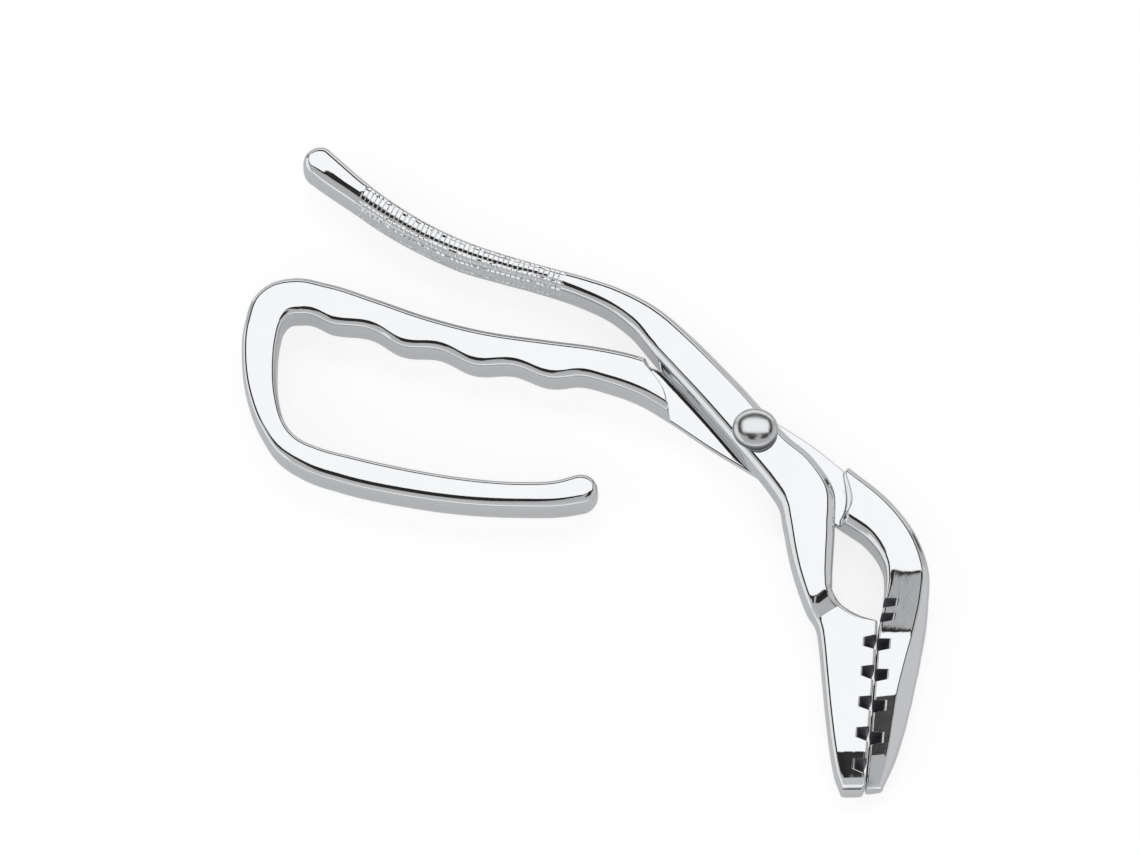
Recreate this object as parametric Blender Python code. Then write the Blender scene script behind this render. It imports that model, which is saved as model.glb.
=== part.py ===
"""Plier nutcracker: two cast levers, half-lapped where they cross, turning on one domed rivet.

Frame: the pivot axis is +Z through the origin, and z = 0 is the flat the tool lies on.
The handles reach towards -X, the jaws towards -Y. The jaws are closed.
Each lever is a closed section carried along two matched edge curves, the left-hand and the
right-hand edge of its front face. The lap recesses and the pivot holes are then taken out of it.
"""

import math

import bmesh
import bpy
import numpy as np

MM = 0.001

# ---- driving dimensions, in metres ----
HANDLE_REACH = 0.1240      # pivot axis to the far end of the finger loop, along X
JAW_REACH = 0.0915         # pivot axis to the jaw tips, along Y
THICKNESS = 0.0100         # whole thickness of a lever, and of the two lapped together
LAP_GAP = 0.0003           # play between the two lapped halves
BEVEL_SLOPE = 0.75         # drop of a front bevel for each millimetre of its width
WALL_DRAFT = 0.0002        # how far a side wall swells from its bevel to the parting line
REAR_CHAMFER_WIDTH = 0.0019
REAR_CHAMFER_HEIGHT = 0.0033
JAW_STEP = 0.0018          # how far the front lever's jaw face lies below the joint
REAR_JAW_STEP = 0.0021     # and the rear lever's
JAW_REAR_STEP = 0.0010     # how far the rear face of both jaws lies above the joint's
SEAM_CHAMFER = 0.18        # share of the rear chamfer that is left along the closing line
TIP_CHAMFER = 0.30         # and on the outside of the jaw tips
SHOULDER_RUN = 0.0012      # plan width of the sloping wall at the end of a lap recess
SHOULDER_BULGE = 0.0014    # how far the middle of a recess wall bows along the lever

FINGER_PITCH = 0.0180      # finger seats under the loop's upper bar
FINGER_SWELL = 0.0009
FIRST_SWELL = 0.0140       # from the start of the finger seats to the first crest

FRONT_BROW_DROP = 0.0005   # how far each jaw's front face falls from its brow to its nose,
FRONT_TIP_DROP = 0.0015    # and to the tip
REAR_BROW_DROP = 0.0011
REAR_TIP_DROP = 0.0030
GRIP_END = 0.0019          # how far the rounded ends reach beyond the last section
HOOK_END = 0.0032
FRONT_TIP_END = 0.0012
REAR_TIP_END = 0.0008
FRONT_TIP_SLOPE = 1.1      # slope of the front face where the rounded tip takes over
REAR_TIP_SLOPE = 0.5
END_DROP = 0.7             # how far a rounded end's face drops, as a share of its reach
BOW_FADE = 0.0080          # the recess walls' bow fades out over this distance
MIN_BEVEL_DROP = 0.0004    # a side wall starts at least this far above the parting line

TOOTH_PITCH = 0.0078       # jaw notches
NOTCH_DEPTH = 0.0026
THROAT = 0.0120            # the notched edge is followed from this far above the jaw root
JAW_GAP = 0.0003           # between the two jaw faces when closed
SEAM_BEVEL = 0.0004        # broken edge of the jaw faces along the closing line

SHANK_RADIUS = 0.0032
PIVOT_CLEARANCE = 0.0003   # between the rivet's shank and the lever holes
HEAD_RADIUS = 0.0055
HEAD_RIM = 0.0006
HEAD_RISE = 0.0022
CROWN_POWER = 2.15         # the crown is (r / a)^n + (h / b)^n = 1
SEAT_GAP = 0.0003          # under the rivet's head, and around the washer
WASHER_RADIUS = 0.0046
WASHER_THICKNESS = 0.0008
TAIL_RADIUS = 0.0041       # the rivet's upset end
TAIL_THICKNESS = 0.0009
TAIL_EDGE = 0.0003

LEAST_SQUARE = 0.7         # keeps the notches bounded where a section runs slanting to its edge
STATION_STEP = 0.0022      # spacing of the sections along a lever
LEAST_SPACING = 0.0002     # no notch corner lies nearer the tip than this
FINE_STEPS = 6000          # points along an edge curve when a place on it is looked up
CUT_OVERRUN = 0.0010       # how far a cutter passes what it cuts
CIRCLE_SIDES = 40
CROWN_STEPS = 9
END_STEPS = 4              # sections in a rounded end
FACE_POINTS = 5            # points across the front face of a section
SMOOTH_BELOW = 35          # degrees between faces of a turned part that are shaded as one

MID = THICKNESS / 2
JOINT_EDGE = 0.0300        # the handles are drawn out or in beyond this distance from the axis
JAW_ROOT = 0.0500          # and the jaws beyond this one, where the jaw faces start

# ---- outlines, in millimetres ----
# Each station is: left edge x, y, right edge x, y, then the bevel widths left and right.
# The left edge is on the left hand of someone walking from the handle's end to the jaw tip.
FRONT_STATIONS = (
    (-106.2, 79.2, -108.7, 74.1, 1.4, 1.4),
    (-103.6, 76.6, -106.2, 72.0, 1.4, 1.4),
    (-97.0, 70.1, -98.9, 66.4, 1.4, 1.4),
    (-89.8, 64.0, -91.4, 60.6, 1.4, 1.4),
    (-80.2, 57.3, -81.4, 54.3, 1.4, 1.5),
    (-70.6, 52.2, -71.4, 49.6, 1.4, 1.9),
    (-60.9, 48.4, -61.6, 46.0, 1.4, 1.5),
    (-51.2, 45.2, -51.8, 42.9, 1.4, 1.5),
    (-41.2, 42.1, -42.2, 39.1, 1.4, 1.3),
    (-32.9, 38.9, -34.6, 35.1, 1.4, 1.3),
    (-24.2, 33.6, -28.6, 30.2, 1.6, 1.5),
    (-15.2, 24.6, -24.4, 24.7, 1.8, 1.5),
    (-5.4, 13.0, -21.8, 21.2, 1.9, 1.5),
    (0.6, 5.3, -11.6, 8.4, 1.9, 1.5),
    (6.9, -2.4, -2.6, -3.6, 1.9, 1.5),
    (12.9, -8.6, 4.6, -13.6, 1.9, 1.6),
    (16.5, -15.4, 7.2, -18.2, 2.0, 1.7),
    (16.4, -24.8, 8.1, -23.2, 2.0, 1.7),
    (15.9, -32.4, 9.2, -32.0, 1.9, 1.5),
    (15.6, -38.6, 10.5, -38.6, 1.8, 1.3),
    (16.2, -42.6, 12.6, -45.6, 1.4, 1.2),
    (18.6, -45.6, 14.2, -48.6, 1.2, 1.2),
    (22.8, -48.4, 14.9, -51.0, 1.1, 1.2),
    (27.2, -49.6, 15.15, -53.2, 0.5, 1.2),
    (0.0, -63.0, 15.75, -63.6, 0.4, 1.2),
    (0.0, -74.0, 16.4, -74.6, 0.4, 1.2),
    (0.0, -83.4, 17.2, -83.4, 0.4, 1.2),
    (0.0, -88.2, 17.9, -88.3, 0.4, 1.1),
    (0.0, -91.2, 18.8, -91.2, 0.4, 1.0),
)
FRONT_GRIP_SHOULDER = 12   # stations where the rear recess starts and ends
FRONT_NECK_SHOULDER = 17
FRONT_STEP = 20            # where the front face starts to drop to the jaw
FRONT_SEAM = 23            # where the left edge turns the corner onto the closing line
FRONT_BROW = 26            # where the jaw's front face bends down
FRONT_NOSE = 27            # where it breaks into the nose

REAR_STATIONS = (
    (-41.2, -17.9, -43.0, -12.6, 1.2, 1.1),
    (-45.6, -18.7, -46.8, -13.8, 1.2, 1.1),
    (-56.3, -19.0, -57.0, -14.4, 1.2, 1.1),
    (-70.5, -18.2, -70.6, -13.2, 1.2, 1.1),
    (-84.8, -16.0, -83.7, -10.8, 1.2, 1.1),
    (-99.2, -12.5, -97.4, -7.4, 1.2, 1.1),
    (-108.6, -8.9, -105.9, -4.8, 1.2, 1.0),
    (-114.3, -4.9, -110.6, -2.4, 1.1, 1.0),
    (-118.6, 1.6, -114.0, 1.4, 1.0, 1.0),
    (-122.0, 10.4, -116.4, 8.8, 1.0, 1.0),
    (-123.7, 20.6, -117.3, 17.8, 1.0, 1.0),
    (-123.3, 30.4, -116.9, 26.2, 1.0, 1.0),
    (-121.2, 37.2, -115.8, 30.8, 1.1, 1.0),
    (-117.6, 40.4, -113.8, 33.2, 1.3, 1.0),
    (-112.8, 41.5, -110.9, 33.7, 1.5, 1.1),
    (-104.6, 39.9, -104.6, 32.5, 1.6, 1.2),
    (-93.2, 35.8, -92.4, 28.3, 1.6, 1.2),
    (-80.9, 31.0, -80.0, 24.0, 1.6, 1.2),
    (-66.3, 26.7, -64.6, 19.8, 1.6, 1.2),
    (-50.8, 24.1, -48.4, 16.8, 1.6, 1.2),
    (-38.6, 22.3, -34.8, 14.6, 1.5, 1.2),
    (-31.4, 20.7, -26.2, 11.0, 1.5, 1.3),
    (-26.7, 19.2, -20.6, 7.3, 1.5, 1.4),
    (-14.0, 13.2, -9.6, -0.9, 1.4, 1.5),
    (0.6, 6.0, 1.6, -8.6, 1.4, 1.5),
    (12.4, -2.2, 11.8, -15.8, 1.4, 1.5),
    (21.4, -10.6, 21.6, -22.8, 1.5, 1.6),
    (30.8, -19.6, 27.4, -27.8, 1.6, 1.5),
    (36.4, -28.6, 30.6, -33.8, 1.6, 1.3),
    (38.5, -37.0, 30.9, -39.0, 1.7, 0.9),
    (37.9, -43.4, 29.9, -44.2, 2.0, 0.4),
    (36.5, -49.6, 0.0, -50.6, 2.7, 0.4),
    (33.6, -59.8, 0.0, -60.6, 3.6, 0.4),
    (31.4, -68.4, 0.0, -69.0, 3.8, 0.4),
    (30.0, -76.0, 0.0, -76.4, 3.2, 0.4),
    (28.6, -83.6, 0.0, -84.0, 2.1, 0.4),
    (26.6, -90.2, 0.0, -91.0, 1.1, 0.4),
)
REAR_WAVE = (14, 20)       # stations between which the finger seats run
REAR_LOOP_SHOULDER = 22    # stations where the front recess starts and ends
REAR_NECK_SHOULDER = 26
REAR_RAMP = (29, 31)       # where the front face ramps down to the jaw
REAR_BROW = 33             # where the jaw's front face bends down
REAR_NOSE = 35             # where it bends down further

# Notches along the closing line: how far below the jaw root the first one starts, how many,
# and, as shares of the notch's mouth, where its flat bottom starts and ends.
FRONT_NOTCHES = {"first": 0.0030, "mouth": 0.0037, "count": 5, "bottom": (0.03, 0.68)}
REAR_NOTCHES = {"first": 0.0039, "mouth": 0.0032, "count": 4, "bottom": (0.12, 0.92)}
THROAT_NOTCHES = {"first": -0.0060, "pitch": 0.0036, "mouth": 0.0023, "count": 2}

SEAM_TOP = (28.0, -49.6)   # the closing line of the jaws, in millimetres
SEAM_TIP = (23.4, -91.5)

DRAWN_HANDLE = 124.7       # the handle and jaw reaches at which the outlines above are drawn
DRAWN_JAW = 92.4


def drawn_out(points):
    """Plan points with the handles drawn out to HANDLE_REACH and the jaws to JAW_REACH."""
    points = np.array(points, dtype=float)
    handle_share = (HANDLE_REACH - JOINT_EDGE) / (DRAWN_HANDLE * MM - JOINT_EDGE)
    jaw_share = (JAW_REACH - JAW_ROOT) / (DRAWN_JAW * MM - JAW_ROOT)
    x, y = points[..., 0], points[..., 1]
    beyond_joint = np.minimum(x + JOINT_EDGE, 0.0)
    beyond_root = np.minimum(y + JAW_ROOT, 0.0)
    points[..., 0] = x + beyond_joint * (handle_share - 1)
    points[..., 1] = y + beyond_root * (jaw_share - 1)
    return points


def seam_x(y_mm):
    """X of the closing line at a height along it, in millimetres."""
    share = (y_mm - SEAM_TOP[1]) / (SEAM_TIP[1] - SEAM_TOP[1])
    return SEAM_TOP[0] + share * (SEAM_TIP[0] - SEAM_TOP[0])


def edge_points(stations, column, seam_side):
    """One edge's control points in metres; an x of 0 means 'on the closing line'."""
    points = []
    for station in stations:
        x, y = station[column], station[column + 1]
        if x == 0.0:
            x = seam_x(y) + seam_side * (JAW_GAP / 2 + SEAM_BEVEL + WALL_DRAFT) / MM
        points.append((x * MM, y * MM))
    return drawn_out(points)


def smooth_through(points, knots, at, corner=None):
    """Cubic curve through points at their knots, read at 'at'; it turns sharply at one corner."""
    points = np.asarray(points, dtype=float)
    if corner is not None and 0 < corner < len(points) - 1:
        before = smooth_through(points[: corner + 1], knots[: corner + 1], at)
        after = smooth_through(points[corner:], knots[corner:], at)
        return np.where((at <= knots[corner])[:, None], before, after)
    steps = np.diff(knots)
    chords = np.diff(points, axis=0) / steps[:, None]
    slopes = np.empty_like(points)
    weight = (steps[1:] / (steps[1:] + steps[:-1]))[:, None]
    slopes[1:-1] = chords[:-1] * weight + chords[1:] * (1 - weight)
    slopes[0] = chords[0]
    slopes[-1] = chords[-1]
    span = np.clip(np.searchsorted(knots, at, side="right") - 1, 0, len(steps) - 1)
    width = steps[span][:, None]
    t = ((at - knots[span]) / steps[span])[:, None]
    start, end = points[span], points[span + 1]
    rise = slopes[span] * width
    fall = slopes[span + 1] * width
    blend = t * t * (3 - 2 * t)
    return start + (end - start) * blend + rise * t * (1 - t) ** 2 - fall * (1 - t) * t * t


def knots_of(left, right):
    """Distance along the lever at each station: the mean of the two edges' chords."""
    chord = (np.hypot(*np.diff(left, axis=0).T) + np.hypot(*np.diff(right, axis=0).T)) / 2
    return np.concatenate(([0.0], np.cumsum(chord)))


def stations_between(knots, extra):
    """Section places: evenly spaced, with one at every place in 'extra'."""
    even = np.linspace(knots[0], knots[-1], 1 + round(knots[-1] / STATION_STEP))
    extra = np.array(sorted(extra))
    near = np.abs(even[:, None] - extra[None, :]).min(axis=1) < STATION_STEP / 4
    near[0] = near[-1] = False
    return np.unique(np.concatenate((even[~near], extra)))


def side_of(edge, hand):
    """Unit normals of an edge curve, out of the lever; hand is 1 on the left, -1 on the right."""
    along = np.gradient(edge, axis=0)
    along /= np.linalg.norm(along, axis=1)[:, None]
    return hand * np.stack((-along[:, 1], along[:, 0]), axis=1)


def pushed_in(edge, opposite, depth):
    """An edge moved towards the opposite one until the cut is 'depth' deep, square to the edge.

    Each point stays on its own section, so that neighbouring sections never cross.
    """
    towards = opposite - edge
    towards /= np.linalg.norm(towards, axis=1)[:, None]
    along = np.gradient(edge, axis=0)
    along /= np.linalg.norm(along, axis=1)[:, None]
    square = np.abs(along[:, 0] * towards[:, 1] - along[:, 1] * towards[:, 0])
    return edge + towards * (depth / np.maximum(square, LEAST_SQUARE))[:, None]


def notch_corners(starts, mouths, bottom):
    """Distances and depths of the corners of a row of trapezoid notches."""
    distances, depths = [-1.0], [0.0]
    for start, mouth in zip(starts, mouths):
        distances += [start, start + bottom[0] * mouth, start + bottom[1] * mouth, start + mouth]
        depths += [0.0, NOTCH_DEPTH, NOTCH_DEPTH, 0.0]
    return np.array(distances + [1.0]), np.array(depths + [0.0])


def bump(t, start, end, run):
    """1 between two places, 0 outside, with a straight ramp of length run inside each end."""
    rising = np.clip((t - start) / run, 0.0, 1.0)
    falling = np.clip((end - t) / run, 0.0, 1.0)
    return np.minimum(rising, falling)


def section_rows(edges, feet, bevels, chamfers, heights, bow):
    """Closed sections: five points over the front face, then down one side and up the other.

    edges, feet, bevels and chamfers hold (left, right). The notches are cut in the edges but not
    in the feet, which the rear chamfers follow; chamfers are shares of the full rear chamfer.
    heights holds top and bottom; bow moves the middle of the front face along the lever.
    """
    left, right = edges
    top, bottom = heights
    out = (side_of(feet[0], 1), side_of(feet[1], -1))
    across = np.linspace(0.0, 1.0, FACE_POINTS)
    along = side_of((left + right) / 2, 1)[:, ::-1] * (1, -1)
    columns = []
    for share in across:
        plan = left + (right - left) * share + along * (bow * math.sin(math.pi * share))[:, None]
        columns.append(np.column_stack((plan, top)))
    deep = (top - bottom) / THICKNESS
    parting = (top + bottom) / 2
    for side in (1, 0):
        normal, bevel = out[side], bevels[side]
        shoulder = edges[side] + normal * bevel[:, None]
        foot = feet[side] + normal * bevel[:, None]
        heel = foot - normal * (REAR_CHAMFER_WIDTH * chamfers[side])[:, None]
        wall_top = np.maximum(top - bevel * BEVEL_SLOPE, parting + MIN_BEVEL_DROP)
        chamfer_foot = bottom + REAR_CHAMFER_HEIGHT * chamfers[side] * deep
        column = [
            np.column_stack((shoulder, wall_top)),
            np.column_stack((shoulder + normal * WALL_DRAFT, parting)),
            np.column_stack((foot, chamfer_foot)),
            np.column_stack((heel, bottom)),
        ]
        columns += column if side == 1 else column[::-1]
    return np.stack(columns, axis=1)


def rounded_end(row, outward, radius, slope=0.0):
    """Sections that round off the end of a sweep: each is drawn in on an ellipse's quarter.

    Each is the last section scaled evenly about its middle, so a slanting one cannot overtake
    the one before it. slope is how steeply the front face falls there, and goes on falling.
    """
    centre = (row.min(axis=0) + row.max(axis=0)) / 2
    low, high = row[:, 2].min(), row[:, 2].max()
    across = np.array((-outward[1], outward[0]))
    offset = row[:, :2] - centre[:2]
    reach = np.abs(offset @ across).max()
    share = (row[:, 2] - low) / (high - low)
    rows = []
    for step in range(1, END_STEPS + 1):
        angle = step / END_STEPS * math.pi / 2
        pull = radius * (1 - math.cos(angle))
        drop = radius * slope * math.sin(angle) + END_DROP * pull
        plan = centre[:2] + offset * (reach - pull) / reach
        plan = plan + np.array(outward) * radius * math.sin(angle)
        height = row[:, 2] - drop * share + END_DROP * pull * (1 - share)
        rows.append(np.column_stack((plan, height)))
    return rows


def end_direction(rows, inner, outer):
    """Unit plan direction from one section's centre to another's."""
    way = rows[outer, :, :2].mean(axis=0) - rows[inner, :, :2].mean(axis=0)
    return way / np.linalg.norm(way)


def closed_sweep(name, rows):
    """Mesh object from a stack of closed sections, capped at both ends."""
    count, around = rows.shape[:2]
    index = np.arange(count * around).reshape(count, around)
    ahead = np.roll(index, -1, axis=1)
    quads = np.stack((index[:-1], index[1:], ahead[1:], ahead[:-1]), axis=-1).reshape(-1, 4)
    caps = [index[0].tolist(), index[-1][::-1].tolist()]
    mesh = bpy.data.meshes.new(name)
    mesh.from_pydata(rows.reshape(-1, 3).tolist(), [], quads.tolist() + caps)
    work = bmesh.new()
    work.from_mesh(mesh)
    bmesh.ops.triangulate(work, faces=[face for face in work.faces if len(face.verts) > 4])
    bmesh.ops.recalc_face_normals(work, faces=work.faces)
    work.to_mesh(mesh)
    work.free()
    part = bpy.data.objects.new(name, mesh)
    bpy.context.collection.objects.link(part)
    return part


def material(name, colour, roughness, metallic=1.0):
    """Principled material."""
    made = bpy.data.materials.new(name)
    made.use_nodes = True
    shader = made.node_tree.nodes["Principled BSDF"]
    shader.inputs["Base Color"].default_value = (*colour, 1.0)
    shader.inputs["Roughness"].default_value = roughness
    shader.inputs["Metallic"].default_value = metallic
    return made


def disc_cutter(name, radius, low, high):
    """Round cutter on the pivot axis between two heights; it is not part of the model."""
    work = bmesh.new()
    bmesh.ops.create_cone(
        work, cap_ends=True, segments=CIRCLE_SIDES, radius1=radius, radius2=radius, depth=high - low
    )
    bmesh.ops.translate(work, verts=work.verts, vec=(0.0, 0.0, (low + high) / 2))
    mesh = bpy.data.meshes.new(name)
    work.to_mesh(mesh)
    work.free()
    cutter = bpy.data.objects.new(name, mesh)
    bpy.context.collection.objects.link(cutter)
    cutter.hide_render = True
    cutter.display_type = "WIRE"
    return cutter


def cut(part, cutter):
    """Take a cutter out of a part."""
    modifier = part.modifiers.new(cutter.name, "BOOLEAN")
    modifier.operation = "DIFFERENCE"
    modifier.solver = "EXACT"
    modifier.object = cutter


def turned(name, profile):
    """Solid of revolution about the pivot axis from (radius, height) points, bottom to top."""
    work = bmesh.new()
    verts = [work.verts.new((radius, 0.0, height)) for radius, height in profile]
    edges = [work.edges.new(pair) for pair in zip(verts, verts[1:])]
    bmesh.ops.spin(
        work, geom=verts + edges, axis=(0, 0, 1), cent=(0, 0, 0), steps=CIRCLE_SIDES,
        angle=2 * math.pi, use_duplicate=False,
    )
    bmesh.ops.remove_doubles(work, verts=work.verts, dist=1e-6)
    bmesh.ops.recalc_face_normals(work, faces=work.faces)
    mesh = bpy.data.meshes.new(name)
    work.to_mesh(mesh)
    work.free()
    mesh.shade_smooth()
    mesh.set_sharp_from_angle(angle=math.radians(SMOOTH_BELOW))
    part = bpy.data.objects.new(name, mesh)
    bpy.context.collection.objects.link(part)
    return part


def seam_distance(edge):
    """How far each edge point lies beyond the jaw root, along the jaws."""
    return -JAW_ROOT - edge[:, 1]


def places_at(edge, places, wanted):
    """Sweep places where an edge curve has the wanted distances beyond the jaw root."""
    distance = seam_distance(edge)
    start = np.argmax(distance > -THROAT)
    return np.interp(wanted, distance[start:], places[start:])


def lever_edges(stations, seam_sides, corners, notches, notched):
    """Both edge curves, the bevels and the sweep places, with the jaw notches cut in."""
    controls = [edge_points(stations, 2 * side, seam_sides[side]) for side in (0, 1)]
    knots = knots_of(*controls)
    fine = np.linspace(knots[0], knots[-1], FINE_STEPS)
    fine_edge = smooth_through(controls[notched], knots, fine, corners[notched])
    reach = seam_distance(fine_edge).max()
    inside = [place for place in notches[0] if -THROAT < place < reach - LEAST_SPACING]
    extra = list(places_at(fine_edge, fine, inside)) + list(knots)
    return controls, knots, extra


def chamfer_shares(places, root, seam_side):
    """Shares of the rear chamfer along (left, right): it shrinks towards the tip and the seam."""
    outside = np.interp(places, (root, places[-1]), (1.0, TIP_CHAMFER))
    seam = np.interp(places, (root, root + TOOTH_PITCH), (1.0, SEAM_CHAMFER))
    return (seam, outside) if seam_side == 0 else (outside, seam)


def front_lever():
    """Knurled grip lever: full thickness in the grip, the front half over the pivot."""
    starts = [FRONT_NOTCHES["first"] + step * TOOTH_PITCH for step in range(FRONT_NOTCHES["count"])]
    mouths = [FRONT_NOTCHES["mouth"]] * len(starts)
    notches = notch_corners(starts, mouths, FRONT_NOTCHES["bottom"])
    corners = (FRONT_SEAM, None)
    controls, knots, extra = lever_edges(FRONT_STATIONS, (-1, -1), corners, notches, 0)
    lap = (knots[FRONT_GRIP_SHOULDER], knots[FRONT_NECK_SHOULDER])
    extra += [lap[0] + SHOULDER_RUN, lap[1] - SHOULDER_RUN]
    places = stations_between(knots, extra)
    whole, right = (smooth_through(c, knots, places, k) for c, k in zip(controls, corners))
    widths = np.array(FRONT_STATIONS)[:, 4:] * MM
    bevels = [np.interp(places, knots, widths[:, side]) for side in (0, 1)]
    left = pushed_in(whole, right, np.interp(seam_distance(whole), *notches))
    jaw_top = THICKNESS - JAW_STEP
    heights = (
        (knots[FRONT_STEP], THICKNESS), (knots[FRONT_STEP + 1], jaw_top),
        (knots[FRONT_BROW], jaw_top), (knots[FRONT_NOSE], jaw_top - FRONT_BROW_DROP),
        (knots[-1], jaw_top - FRONT_TIP_DROP),
    )
    top = np.interp(places, *zip(*heights))
    bottom = np.interp(places, (knots[FRONT_STEP], knots[FRONT_STEP + 1]), (0.0, JAW_REAR_STEP))
    chamfers = chamfer_shares(places, knots[FRONT_STEP], 0)
    flat = np.zeros_like(places)
    rows = section_rows((left, right), (whole, right), bevels, chamfers, (top, bottom), flat)
    lap_floor = MID + LAP_GAP / 2
    floor = lap_floor * bump(places, *lap, SHOULDER_RUN)
    rows[..., 2] = np.maximum(rows[..., 2], floor[:, None])
    grip_end = rounded_end(rows[0], end_direction(rows, 2, 0), GRIP_END)
    jaw_end = rounded_end(rows[-1], np.array((0.0, -1.0)), FRONT_TIP_END, FRONT_TIP_SLOPE)
    rows = np.concatenate((grip_end[::-1], rows, jaw_end))
    lever = closed_sweep("front_lever", rows)
    bore = SHANK_RADIUS + PIVOT_CLEARANCE
    cut(lever, disc_cutter("front_hole", bore, MID - CUT_OVERRUN, THICKNESS + CUT_OVERRUN))
    lever.data.materials.append(material("front_chrome", (0.78, 0.79, 0.80), 0.12))
    return lever


def rear_notches():
    """Corners of the rear jaw's notches: two small ones in the throat, then the main row."""
    throat = THROAT_NOTCHES
    starts = [throat["first"] + step * throat["pitch"] for step in range(throat["count"])]
    mouths = [throat["mouth"]] * throat["count"]
    starts += [REAR_NOTCHES["first"] + step * TOOTH_PITCH for step in range(REAR_NOTCHES["count"])]
    mouths += [REAR_NOTCHES["mouth"]] * REAR_NOTCHES["count"]
    return notch_corners(starts, mouths, REAR_NOTCHES["bottom"])


def finger_wave(places, knots):
    """How far the loop's upper bar swells into the loop: waves between the finger seats."""
    start, end = knots[REAR_WAVE[0]], knots[REAR_WAVE[1]]
    fade = bump(places, start, end, FINGER_PITCH / 2)
    seat = (places - knots[REAR_WAVE[0]] - FIRST_SWELL) / FINGER_PITCH
    return -FINGER_SWELL * np.sin(2 * math.pi * seat) * fade


def rear_lever():
    """Finger-loop lever: full thickness in the loop, the rear half under the front lever."""
    notches = rear_notches()
    controls, knots, extra = lever_edges(REAR_STATIONS, (1, 1), (None, None), notches, 1)
    lap = (knots[REAR_LOOP_SHOULDER], knots[REAR_NECK_SHOULDER])
    extra += [lap[0] + SHOULDER_RUN, lap[1] - SHOULDER_RUN]
    places = stations_between(knots, extra)
    left, right = (smooth_through(control, knots, places) for control in controls)
    widths = np.array(REAR_STATIONS)[:, 4:] * MM
    bevels = [np.interp(places, knots, widths[:, side]) for side in (0, 1)]
    in_jaw = seam_distance(right) > -THROAT
    whole = right + side_of(right, -1) * finger_wave(places, knots)[:, None]
    right = pushed_in(whole, left, np.interp(seam_distance(whole), *notches) * in_jaw)
    jaw_top = THICKNESS - REAR_JAW_STEP
    heights = (
        (knots[REAR_RAMP[0]], THICKNESS), (knots[REAR_RAMP[1]], jaw_top),
        (knots[REAR_BROW], jaw_top), (knots[REAR_NOSE], jaw_top - REAR_BROW_DROP),
        (knots[-1], jaw_top - REAR_TIP_DROP),
    )
    top = np.interp(places, *zip(*heights))
    bottom = np.interp(places, (knots[REAR_RAMP[0]], knots[REAR_RAMP[1]]), (0.0, JAW_REAR_STEP))
    near_lap = bump(places, lap[0] - BOW_FADE, lap[1] + BOW_FADE, BOW_FADE)
    chamfers = chamfer_shares(places, knots[REAR_RAMP[0]], 1)
    feet = (left, whole)
    bow = SHOULDER_BULGE * near_lap
    rows = section_rows((left, right), feet, bevels, chamfers, (top, bottom), bow)
    ceiling = THICKNESS - (MID + LAP_GAP / 2) * bump(places, *lap, SHOULDER_RUN)
    rows[..., 2] = np.minimum(rows[..., 2], ceiling[:, None])
    hook_end = rounded_end(rows[0], end_direction(rows, 2, 0), HOOK_END)
    jaw_end = rounded_end(rows[-1], np.array((0.0, -1.0)), REAR_TIP_END, REAR_TIP_SLOPE)
    rows = np.concatenate((hook_end[::-1], rows, jaw_end))
    lever = closed_sweep("rear_lever", rows)
    bore = SHANK_RADIUS + PIVOT_CLEARANCE
    cut(lever, disc_cutter("rear_hole", bore, -CUT_OVERRUN, MID + CUT_OVERRUN))
    pocket = TAIL_THICKNESS + WASHER_THICKNESS + 2 * SEAT_GAP
    cut(lever, disc_cutter("rear_counterbore", WASHER_RADIUS + SEAT_GAP, -CUT_OVERRUN, pocket))
    lever.data.materials.append(material("rear_chrome", (0.77, 0.78, 0.79), 0.12))
    return lever


def pivot_rivet():
    """Domed rivet: head on the front lever, shank through both, upset end flush behind."""
    seat = THICKNESS + SEAT_GAP
    profile = [(0.0, 0.0), (TAIL_RADIUS - TAIL_EDGE, 0.0), (TAIL_RADIUS, TAIL_EDGE)]
    profile += [(TAIL_RADIUS, TAIL_THICKNESS), (SHANK_RADIUS, TAIL_THICKNESS), (SHANK_RADIUS, seat)]
    profile += [(HEAD_RADIUS, seat), (HEAD_RADIUS, seat + HEAD_RIM)]
    for step in range(1, CROWN_STEPS):
        angle = step / CROWN_STEPS * math.pi / 2
        radius = HEAD_RADIUS * math.cos(angle) ** (2 / CROWN_POWER)
        height = HEAD_RISE * math.sin(angle) ** (2 / CROWN_POWER)
        profile.append((radius, seat + HEAD_RIM + height))
    profile.append((0.0, seat + HEAD_RIM + HEAD_RISE))
    rivet = turned("pivot_rivet", profile)
    rivet.data.materials.append(material("rivet_steel", (0.70, 0.71, 0.72), 0.16))
    return rivet


def rivet_washer():
    """Flat washer between the rivet's upset end and the soft casting."""
    low = TAIL_THICKNESS + SEAT_GAP
    high = low + WASHER_THICKNESS
    inner = SHANK_RADIUS + PIVOT_CLEARANCE
    profile = [(inner, low), (WASHER_RADIUS, low), (WASHER_RADIUS, high), (inner, high), (inner, low)]
    washer = turned("rivet_washer", profile)
    washer.data.materials.append(material("washer_steel", (0.62, 0.62, 0.63), 0.3))
    return washer


def main():
    for thing in list(bpy.data.objects):
        bpy.data.objects.remove(thing, do_unlink=True)
    pivot = bpy.data.objects.new("pivot_axis", None)
    bpy.context.collection.objects.link(pivot)
    front_lever().parent = pivot
    rear_lever()
    pivot_rivet()
    rivet_washer()


main()
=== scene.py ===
# %% [markdown]
# # A plier nutcracker in bright chrome
#
# The tool is two zinc castings, plated with chromium, that cross and turn on one domed rivet.
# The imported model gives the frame: where the pivot is, how thick the levers are and how they move.
# Here the same levers are made again with everything that chrome shows up: small radii on every
# edge, the cut knurling on the grip, and the faint ripple that casting leaves under the plating.

# %% The frame
import math

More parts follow.
